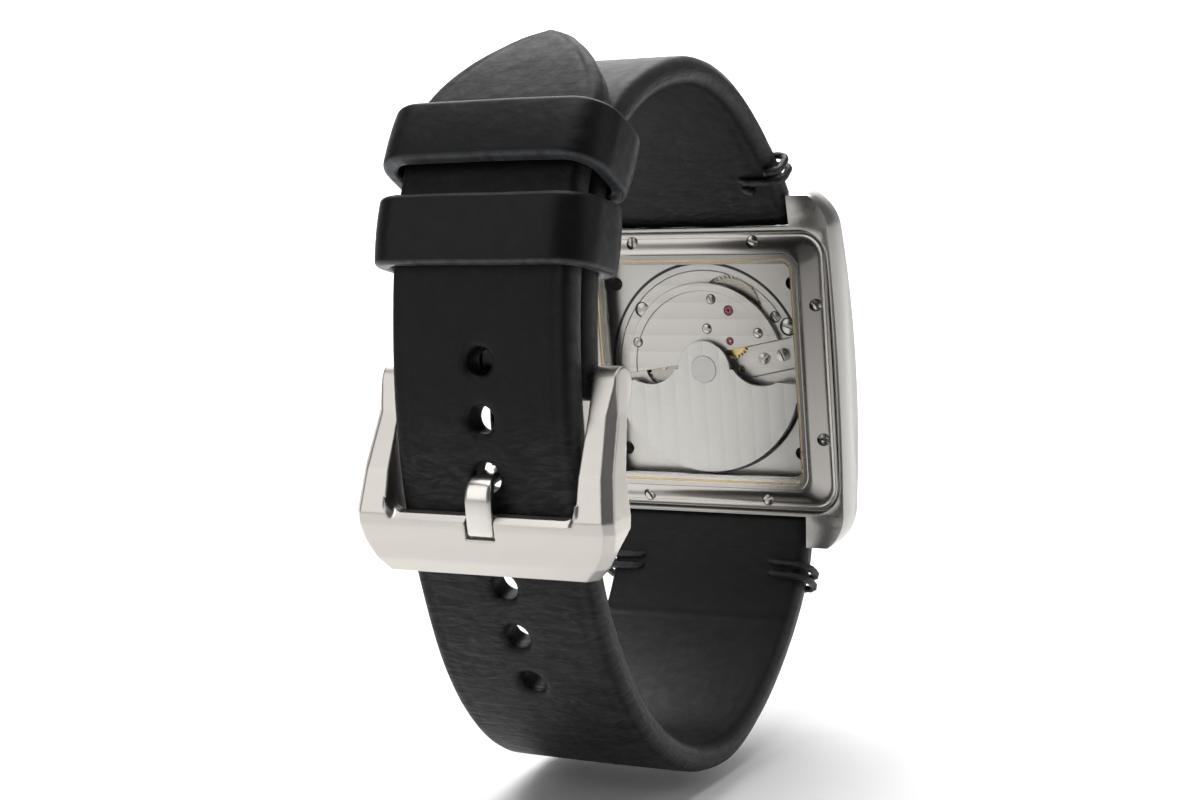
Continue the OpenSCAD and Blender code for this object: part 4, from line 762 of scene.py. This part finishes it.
# Keepers
def keeper(name, s, tall, gap, body, node, seed):
    """Closed loop of thick leather round both straps, with a gently domed front and worn edges."""
    (cy, cz), (dy, dz) = BACK.at(s)
    oy, oz = dz, -dy
    deep, wide, wall = STRAP_T + STEP + 2 * gap, TAIL_W + 2 * gap, 1.9
    loop = rounded_outline(wide / 2 + wall / 2, deep / 2 + wall / 2, 2.7 + gap, 12, (26, 8))
    section = [(t, h, min(1.0, abs(nh) * 1.3))
               for t, h, _, nh in rounded_outline(wall / 2, tall / 2, 0.6, 6, (6, 12))]
    verts, lay, edge, bend = [], [], [], []
    walk = 0.0
    for i, (x, d, nx, nd) in enumerate(loop):
        if i:
            walk += hypot(x - loop[i - 1][0], d - loop[i - 1][1])
        face = max(0.0, 1 - (x / (wide / 2)) ** 2) if nd > 0.5 else 0.0
        for t, h, e in section:
            crown = soft = 0.0
            if t > 1e-9:
                crown = 0.16 * (1 - (2 * h / tall) ** 2) - 0.1
                soft = 0.05 * noise.noise(Vector((x * 0.16, h * 0.22 + seed, d * 0.16)))
            tt = t + crown + soft + 0.12 * face
            hh = h + 0.10 * noise.noise(Vector((x * 0.09 + seed, d * 0.09, 5.0)))
            px, pd = x + nx * tt, d + nd * tt + STEP / 2
            y, z = cy + oy * pd + dy * hh, cz + oz * pd + dz * hh
            verts.append(P(px, y, z))
            lay.append((walk, h, 9.0 + seed))
            edge.append(e * (1.0 if h < 0 else 0.65))
            bend.append(0.12)
    mesh = mesh_from(name, verts, tube_faces(len(loop), len(section), closed=True))
    set_attributes(mesh, lay, edge, bend)
    face_outward(mesh)
    obj = link(name, mesh, body, "keeper", [node])
    m = obj.modifiers.new("subdivision", "SUBSURF")
    m.levels = m.render_levels = 1


keeper("fixed_keeper_leather", 14.7, 7.4, 0.3, "case", "fixed_keeper", 1.3)
keeper("free_keeper_leather", 23.25, 6.9, 0.65, "free_keeper", "free_keeper", 4.7)


# Lug stitches
STITCH_S, STITCH_X = 5.6, 8.4  # place along the strap and inner end across it


def lug_stitches():
    """Waxed cord of three strands, wound twice through the strap and round its edge, as in the CAD."""
    verts, faces, lay = [], [], []
    turns, per_turn, sides = 2, 72, 18
    half_w = (STRAP_W / 2 - STITCH_X + 0.9) / 2

    def squared(v):
        return copysign(abs(v) ** 0.5, v)

    for path in (SHORT, LONG):
        (cy, cz), (dy, dz) = path.at(STITCH_S)
        oy, oz = dz, -dy
        for sx in (-1, 1):
            pts = []
            for i in range(turns * per_turn - 3):
                u = i / per_turn
                a = radians(360 * u + 100)
                lx = STITCH_X + half_w - 0.12 + half_w * squared(cos(a))
                ld = (STRAP_T / 2 + 0.28 - 0.25 * max(0.0, cos(a)) ** 3) * squared(sin(a))
                ls = 1.45 * (u - turns / 2) + 0.07 * sin(3 * a + sx)
                pts.append(P(sx * lx, cy + oy * ld + dy * ls, cz + oz * ld + dz * ls))
            walk = 0.0
            base = len(verts)
            for i, p in enumerate(pts):
                t = (pts[min(i + 1, len(pts) - 1)] - pts[max(i - 1, 0)]).normalized()
                walk += (p - pts[i - 1]).length / MM if i else 0
                along = Vector((0, dy, dz))
                n1 = t.cross(along).normalized()
                n2 = t.cross(n1).normalized()
                for k in range(sides):
                    a = 2 * pi * k / sides
                    strand = abs(cos(1.5 * (a + walk * 2.2)))
                    r = 0.45 * (0.74 + 0.28 * strand ** 0.7) + 0.012 * noise.noise(p * 2500)
                    verts.append(p + (n1 * cos(a) + n2 * sin(a)) * r * MM)
                    lay.append((walk, a, path.length))
            faces += tube_faces(len(pts), sides, base)
            faces.append(tuple(base + k for k in range(sides - 1, -1, -1)))
            faces.append(tuple(base + (len(pts) - 1) * sides + k for k in range(sides)))
    mesh = mesh_from("lug_stitch_cord", verts, faces)
    set_attributes(mesh, lay)
    link("lug_stitch_cord", mesh, "case", "thread", ["lug_stitches"])


lug_stitches()


# Buckle and tang
def buckle_extras():
    """Rounded inner corners between the arms and the front bar, as closed prisms."""
    verts, faces = [], []
    arm_x, bar_z, r = 11.5, -6.0, 1.7
    for sx in (-1, 1):
        outline = [(arm_x + 0.1, bar_z - 0.1), (arm_x - r, bar_z - 0.1), (arm_x - r, bar_z)]
        for j in range(9):
            a = radians(90 * j / 8)
            outline.append((arm_x - r + r * sin(a), bar_z + r - r * cos(a)))
        outline.append((arm_x + 0.1, bar_z + r))
        base = len(verts)
        for y in (50.25, 52.3):
            verts += [P(sx * x, y, z) for x, z in outline]
        n = len(outline)
        faces += [tuple(base + k for k in range(n)), tuple(base + n + k for k in range(n - 1, -1, -1))]
        faces += tube_faces(2, n, base)
    return mesh_from("extras", verts, faces)


def buckle():
    """Buckle frame with soft facets: the CAD's shape with rounded inner corners, and a bright bevel
    on the bar's upper edge."""
    bm = bmesh.new()
    bm.from_mesh(NODES["buckle_frame"].data)
    bm.from_mesh(buckle_extras())
    drop_uv(bm)
    tmp = in_scene("tmp", mesh_of(bm, "tmp"))
    m = tmp.modifiers.new("remesh", "REMESH")
    m.mode = "VOXEL"
    m.voxel_size = 0.12 * MM
    m = tmp.modifiers.new("smooth", "SMOOTH")
    m.factor = 0.5
    m.iterations = 5
    mesh = applied(tmp, "buckle_frame_satin")
    bpy.data.objects.remove(tmp)
    edge = P(0, 52.4, -6.0)
    slope = Vector((0, 0.68, 0.73))
    reach, bevel = 1.2 * MM, 0.48 * MM
    fade, end = 10.6, 11.4  # the bevel runs out between these, before the arms
    for v in mesh.vertices:
        x = abs(v.co.x) / MM
        if x < end and v.co.y > edge.y - reach and abs(v.co.z - edge.z) < reach:
            past = (v.co - edge).dot(slope) + bevel
            if past > 0:
                v.co -= slope * past * (smoothstep(end, fade, x) if x > fade else 1.0)
    link("buckle_frame_satin", mesh, "buckle", "buckle", ["buckle_frame"])


def spline(points, steps):
    """Smooth curve through points (Catmull-Rom), steps per stretch."""
    out = []
    for i in range(len(points) - 1):
        p0, p1 = points[max(i - 1, 0)], points[i]
        p2, p3 = points[i + 1], points[min(i + 2, len(points) - 1)]
        for j in range(steps):
            t = j / steps
            out.append(tuple(0.5 * (2 * b + (c - a) * t + (2 * a - 5 * b + 4 * c - d) * t * t
                                    + (3 * b - a - 3 * c + d) * t ** 3)
                             for a, b, c, d in zip(p0, p1, p2, p3)))
    out.append(tuple(points[-1]))
    return out


def tang():
    """Bent strip: loop round the bar, down between the straps, out through the hole and down over the bar.
    Rows are Y and Z from the buckle's bar, half thickness and half width."""
    rows = [(1.55, -0.2, 0.0, 1.2), (1.45, -0.9, 0.35, 1.2), (1.1, -2.4, 0.5, 1.2), (1.25, -4.4, 0.5, 1.2),
            (1.24, -6.4, 0.46, 1.2), (1.3, -7.7, 0.48, 1.2), (1.62, -8.7, 0.5, 1.2), (2.4, -9.2, 0.5, 1.2),
            (4.0, -9.3, 0.52, 1.2), (5.4, -9.45, 0.54, 1.3), (6.25, -9.9, 0.54, 1.5),
            (6.72, -10.9, 0.5, 1.58), (6.85, -12.3, 0.47, 1.6), (6.84, -13.8, 0.46, 1.6),
            (6.82, -14.75, 0.44, 1.55), (6.8, -14.95, 0.36, 1.5)]
    curve = spline(rows, 5)
    verts = []
    ring = 20
    for i, (y, z, half_t, half_w) in enumerate(curve):
        a, b = curve[max(i - 1, 0)], curve[min(i + 1, len(curve) - 1)]
        ty, tz = b[0] - a[0], b[1] - a[1]
        n = hypot(ty, tz)
        ny, nz = -tz / n, ty / n
        for k in range(ring):
            ang = 2 * pi * k / ring
            c, q = cos(ang), sin(ang)
            px = half_w * copysign(abs(c) ** 0.32, c)
            pt = max(half_t, 0.02) * copysign(abs(q) ** 0.45, q)
            verts.append(P(px, BUCKLE[0] + y + ny * pt, BUCKLE[1] + z + nz * pt))
    faces = tube_faces(len(curve), ring)
    last = (len(curve) - 1) * ring
    faces += [tuple(range(ring - 1, -1, -1)), tuple(last + k for k in range(ring))]
    tube, across = 40, 4  # points round the loop and across its width
    for r, flip in ((1.75, 1), (0.95, -1)):
        base = len(verts)
        profile = [(-1.2, r - 0.12 * flip), (-1.08, r), (1.08, r), (1.2, r - 0.12 * flip)]
        for k in range(tube):
            ang = 2 * pi * k / tube
            for x, rr in profile:
                verts.append(P(x, BUCKLE[0] + rr * cos(ang), BUCKLE[1] + rr * sin(ang)))
        for k in range(tube):
            for j in range(across - 1):
                a, b = base + k * across + j, base + (k + 1) % tube * across + j
                faces.append((a, b, b + 1, a + 1))
    outer = base - tube * across
    for k in range(tube):
        for j in (0, across - 1):
            a, b = k * across + j, (k + 1) % tube * across + j
            faces.append((outer + a, outer + b, base + b, base + a))
    mesh = mesh_from("tang_bent", verts, faces)
    face_outward(mesh)
    link("tang_bent", mesh, "tang", "tang", ["tang"])
    mesh.set_sharp_from_angle(angle=radians(40))


buckle()
tang()


# Case back and screws
SEAT_Y, RIM_Y, TOP_Y = -0.9, -0.05, 0.7
SIGNS = [(s, t) for s in (-1, 1) for t in (-1, 1)]
BACK_SCREWS = [(s * 15.9, t * 8.1) for s, t in SIGNS] + [(s * 8.1, t * 15.75) for s, t in SIGNS]


def turned_ring(bm, x, z, r, y, n):
    """Points of a circle round an axis along Y."""
    turns = [2 * pi * k / n for k in range(n)]
    return [bm.verts.new(P(x + r * cos(a), y, z + r * sin(a))) for a in turns]


def join_rings(bm, low, high):
    n = len(low)
    for k in range(n):
        bm.faces.new((low[k], low[(k + 1) % n], high[(k + 1) % n], high[k]))


def case_back():
    """Dished back: rolled rim, hollow slope up to the window's raised edge, stepped opening, screw
    holes. Rows are half width, half length, corner radius and height."""
    half_w, half_l, corner, roll_y = 17.45, 16.9, 3.0, -0.42
    rows = [(half_w, half_l, corner, SEAT_Y), (half_w, half_l, corner, roll_y)]
    for j in range(1, 7):
        a = radians(90 * j / 6)
        c = 0.36 * (1 - cos(a))
        rows.append((half_w - c, half_l - c, corner - c, roll_y + 0.37 * sin(a)))
    rows += [(17.0, 16.45, 2.6, RIM_Y), (16.94, 16.39, 2.55, RIM_Y - 0.03), (16.86, 16.31, 2.5, RIM_Y - 0.06)]
    for j in range(1, 13):
        u = j / 12
        rise = min(1, max(0, (u - 0.10) / 0.80))
        rise = 0.55 * rise + 0.45 * rise * rise * (3 - 2 * rise)
        rows.append((16.86 - 2.96 * u, 16.31 - 1.96 * u, 2.5 - 0.7 * u, RIM_Y - 0.06 + 0.74 * rise))
    rows += [(13.82, 14.27, 1.76, 0.698), (13.5, 13.9, 1.5, TOP_Y), (13.36, 13.76, 1.36, TOP_Y),
             (13.31, 13.71, 1.31, TOP_Y - 0.05), (13.3, 13.7, 1.3, 0.6), (13.3, 13.7, 1.3, -0.4),
             (13.28, 13.68, 1.28, -0.4), (12.6, 13.0, 1.0, -0.4), (12.6, 13.0, 1.0, SEAT_Y + 0.02),
             (12.62, 13.02, 1.0, SEAT_Y)]
    verts = [P(x, y, z) for hx, hz, r, y in rows for x, z, *_ in rounded_outline(hx, hz, r, 10, (14, 14))]
    mesh = mesh_from("case_back_dish", verts, tube_faces(len(rows), len(verts) // len(rows), closed=True))
    face_outward(mesh)
    tmp = in_scene("tmp", mesh)
    bm = bmesh.new()
    turn = Matrix.Rotation(radians(90), 4, "X")
    for x, z in BACK_SCREWS:
        for r, y, deep in ((0.76, 0.31, 1.58), (0.47, -0.5, 3.0)):
            bmesh.ops.create_cone(bm, cap_ends=True, segments=32, radius1=r * MM, radius2=r * MM,
                                  depth=deep * MM, matrix=Matrix.Translation(P(x, y, z)) @ turn)
    cut = in_scene("cutters", mesh_of(bm, "cutters"))
    m = tmp.modifiers.new("cut", "BOOLEAN")
    m.operation, m.solver, m.object, m.use_self = "DIFFERENCE", "EXACT", cut, True
    done = applied(tmp, "case_back_dish")
    bpy.data.objects.remove(tmp)
    bpy.data.objects.remove(cut)
    link("case_back_dish", done, "case", "caseback", ["caseback"])
    done.set_sharp_from_angle(angle=radians(32))


case_back()


def screw_heads(name, screws, node):
    """Slotted screws with bevelled heads: x, z, head top, head radius, head depth, shank radius,
    shank foot, slot turn."""
    bm = bmesh.new()
    for x, z, top, r, deep, shank, foot, turn in screws:
        slot, bev, cut = 0.15 * r + 0.03, 0.11 * r, deep * 0.55
        a0 = asin(slot / r)
        arc = [a0 + (pi - 2 * a0) * k / 14 for k in range(15)]
        levels = ((top - cut, r, slot), (top - bev, r, slot),
                  (top - bev * 0.3, r - bev * 0.35, slot + bev * 0.1), (top, r - bev, slot + bev * 0.35))
        for flip in (0, 180):
            b = radians(turn + flip)
            rings = []
            for y, rr, edge in levels:
                flat = [(rr * cos(a), max(edge, rr * sin(a))) for a in arc]
                rings.append([bm.verts.new(P(x + px * cos(b) - pz * sin(b), y,
                                             z + px * sin(b) + pz * cos(b))) for px, pz in flat])
            for low, high in zip(rings, rings[1:]):
                join_rings(bm, low, high)
            bm.faces.new(rings[-1])
            bm.faces.new(rings[0][::-1])
        for rr, y0, y1 in ((r, top - deep, top - cut * 0.98), (shank, foot, top - deep * 0.9)):
            low, high = (turned_ring(bm, x, z, rr, y, 28) for y in (y0, y1))
            join_rings(bm, low, high)
            bm.faces.new(low[::-1])
            bm.faces.new(high)
    bmesh.ops.recalc_face_normals(bm, faces=bm.faces)
    mesh = mesh_of(bm, name)
    link(name, mesh, "case", "screw", [node])
    mesh.set_sharp_from_angle(angle=radians(35))


BALANCE = (4.977, -6.391)  # the balance's axis
FOOT = (4.181, 3.256)  # from there to one of the balance bridge's two screws
# x, z, head radius, head top, head depth, shank foot, slot turn
TRAIN_SCREWS = [(-7.28, 4.4, 0.55, -1.78, 0.12, -2.95, 30), (9.2, 3.2, 0.55, -1.78, 0.12, -2.95, 120),
                (-1.23, 8.55, 0.55, -1.78, 0.12, -2.25, 70), (-0.44, 4.91, 0.55, -1.78, 0.12, -2.25, 15),
                (-9.47, 6.32, 0.6, -2.4, 0.25, -3.05, 55), (8.6, 7.2, 0.85, -2.4, 0.25, -3.05, 160),
                (-11.14, 5.14, 1.0, -2.4, 0.25, -3.05, 20), (11.14, -5.14, 1.0, -2.4, 0.25, -3.05, 80),
                (-10.08, 1.66, 0.8, -2.4, 0.3, -3.04, 65), (-7.55, 1.14, 0.7, -2.4, 0.3, -3.04, 140),
                (-8.5, -6.0, 0.8, -2.4, 0.3, -3.6, 35), (-3.4, -10.0, 0.8, -2.4, 0.3, -3.6, 110),
                (BALANCE[0] + FOOT[0], BALANCE[1] + FOOT[1], 0.7, -2.23, 0.12, -3.25, 10),
                (BALANCE[0] - FOOT[0], BALANCE[1] - FOOT[1], 0.7, -2.23, 0.12, -3.25, 95)]
screw_heads("movement_screw_set", [(x, z, top, r, deep, 0.3, foot, turn)
                                   for x, z, r, top, deep, foot, turn in TRAIN_SCREWS], "bridge_screws")


def sink_shade_rings(name, rings):
    """Thin near-black rings of painted shade in the sinks round screws and jewels: x, z, height, inner and
    outer radius.
    """
    bm = bmesh.new()
    for x, z, y, r0, r1 in rings:
        low, high = y - 0.01, y + 0.006
        rows = [turned_ring(bm, x, z, r, h, 32)
                for r, h in ((r0, low), (r0, high), (r1 - 0.02, high), (r1, low))]
        for a, b in zip(rows, rows[1:] + rows[:1]):
            join_rings(bm, a, b)
    bmesh.ops.recalc_face_normals(bm, faces=bm.faces)
    link(name, mesh_of(bm, name), "case", "dark")


AUTO_Y, PLATE_Y = -1.9, -2.35  # outer faces of the automatic bridge and of the bridges below it
# Painted shade round the recessed screw heads and the jewels of the bridges.
sink_shade_rings("bridge_sink_shade_rings", [(x, z, AUTO_Y, r + 0.01, r + 0.11) for x, z, r, *_ in TRAIN_SCREWS[:4]]
           + [(x, z, PLATE_Y, r + 0.01, r + 0.13) for x, z, r, *_ in TRAIN_SCREWS[4:8]]
           + [(-3.45, 3.4, AUTO_Y, 0.40, 0.52), (-3.5, 7.15, AUTO_Y, 0.52, 0.66)])
# Bridge and rotor bevels take the darker bevel metal, painted shade along their edges.
for part, width in (("automatic_bridge", 0.13), ("train_bridge", 0.13), ("barrel_bridge", 0.13),
                    ("escapement_bridge", 0.13), ("balance_bridge", 0.1)):
    bevelled(part, "case", "plate", width, 1, rim="edge_shade_line")
bevelled("rotor", "rotor", "rotor", 0.14, 1, rim="edge_shade_line")
bevelled("case_middle", "case", "case_brushed", 0.14, angle=35)
bevelled("bezel", "case", "case_polished", 0.16, angle=35)


def minute_track():
    """Printed minute strokes round the square dial, between the hour markers."""
    y, half, corner = -6.205, 12.4, 15.2  # height, and distance of strokes at the sides and corners
    stroke = Matrix.Diagonal((0.13 * MM, 0.02 * MM, 0.85 * MM, 1))
    bm = bmesh.new()
    for k in range(60):
        if k % 5 == 0:
            continue
        a = radians(6 * k)
        dx, dz = sin(a), cos(a)
        reach = min(corner, half / max(abs(dx), abs(dz)))
        at = Matrix.Translation(P(dx * reach, y, dz * reach)) @ Matrix.Rotation(a, 4, "Y")
        bmesh.ops.create_cube(bm, size=1, matrix=at @ stroke)
    link("minute_track", mesh_of(bm, "minute_track"), "case", "print", smooth=False)


minute_track()

screw_heads("case_back_screw_set", [(x, z, SEAT_Y + 0.87, 0.7, 0.42, 0.4, SEAT_Y - 2.4, 37 * k + 12)
                                    for k, (x, z) in enumerate(BACK_SCREWS)], "caseback_screws")

# Finishes of the CAD's own pieces
FINISH = {
    "case_polished": "crown",
    "bar": "crown_tube winding_stem rotor_bearing spring_bar_top spring_bar_bottom spring_bar_buckle "
           "bar_tip_top_left bar_tip_top_right bar_tip_bottom_left bar_tip_bottom_right",
    "crystal": "front_crystal",
    "back_crystal": "caseback_crystal",
    "rubber": "front_crystal_gasket caseback_gasket crown_gasket",
    "rehaut": "rehaut_ring",
    "gold_ring": "caseback_crystal_gasket",
    "dial": "dial",
    "hand_steel": "hour_markers hour_hand minute_hand",
    "seconds": "seconds_hand",
    "movement_ring": "movement_ring",
    "plate_plain": "main_plate",
    "wheel_steel": "ratchet_wheel idler_wheel crown_wheel pallet_fork mainspring",
    "ruby": "jewels",
    "blued": "hairspring",
}
LOOK_OF = {node: look for look, nodes in FINISH.items() for node in nodes.split()}
for node, obj in NODES.items():
    if not obj.hide_render:
        obj.data.materials.clear()
        obj.data.materials.append(MATS[LOOK_OF.get(node, "gilt")])

# Floor and light
FLOOR_Z = -0.0425


def stage_surface():
    """Pale floor that runs up into a wall far behind the watch."""
    reach, curve, wall_h, half_w = 0.9, 0.5, 1.8, 1.6
    profile = [(-reach, 0.0), (reach, 0.0)]
    for k in range(1, 13):
        a = radians(90 * k / 12)
        profile.append((reach + curve * sin(a), curve - curve * cos(a)))
    profile.append((reach + curve, wall_h))
    side = Vector((forward.y, -forward.x, 0)).normalized()
    away = Vector((forward.x, forward.y, 0)).normalized()
    verts, faces = [], []
    for d, z in profile:
        for s in (-half_w, half_w):
            verts.append(away * d + side * s + Vector((0, 0, FLOOR_Z + z)))
    for i in range(len(profile) - 1):
        faces.append((2 * i, 2 * i + 1, 2 * i + 3, 2 * i + 2))
    mesh = mesh_from("floor", verts, faces)
    mesh.materials.append(floor_material())
    for p in mesh.polygons:
        p.use_smooth = True
    obj = in_scene("floor", mesh)


stage_surface()


def area_light(name, at, look, size, power, spread=180):
    data = bpy.data.lights.new(name, "AREA")
    data.shape = "RECTANGLE"
    data.size, data.size_y = size
    data.energy = power
    data.spread = radians(spread)
    obj = in_scene(name, data)
    obj.location = at
    obj.rotation_euler = (Vector(look) - Vector(at)).to_track_quat("-Z", "Y").to_euler()


area_light("left", (0.27, 0.40, 0.20), (0.02, 0, 0), (0.32, 0.42), 0.55)
area_light("right", (-0.55, -0.15, 0.25), (0, 0, 0), (0.4, 0.5), 0.6)
area_light("back", (0.25, -0.55, 0.60), (0.16, -0.38, -0.04), (0.9, 0.5), 4.0, spread=86)
area_light("top", (0.08, -0.01, 0.36), (0.03, -0.01, 0), (0.52, 0.42), 0.42, spread=66)
area_light("backdrop", (0.45, -0.80, 0.55), (0.75, -1.3, 0.1), (1.2, 0.4), 14.0)

world = bpy.data.worlds.new("studio")
world.use_nodes = True
sky = world.node_tree.nodes["Background"].inputs
sky["Color"].default_value = (1, 1, 1, 1)
sky["Strength"].default_value = 0.10
bpy.context.scene.world = world
bpy.context.scene.view_settings.view_transform = "Standard"
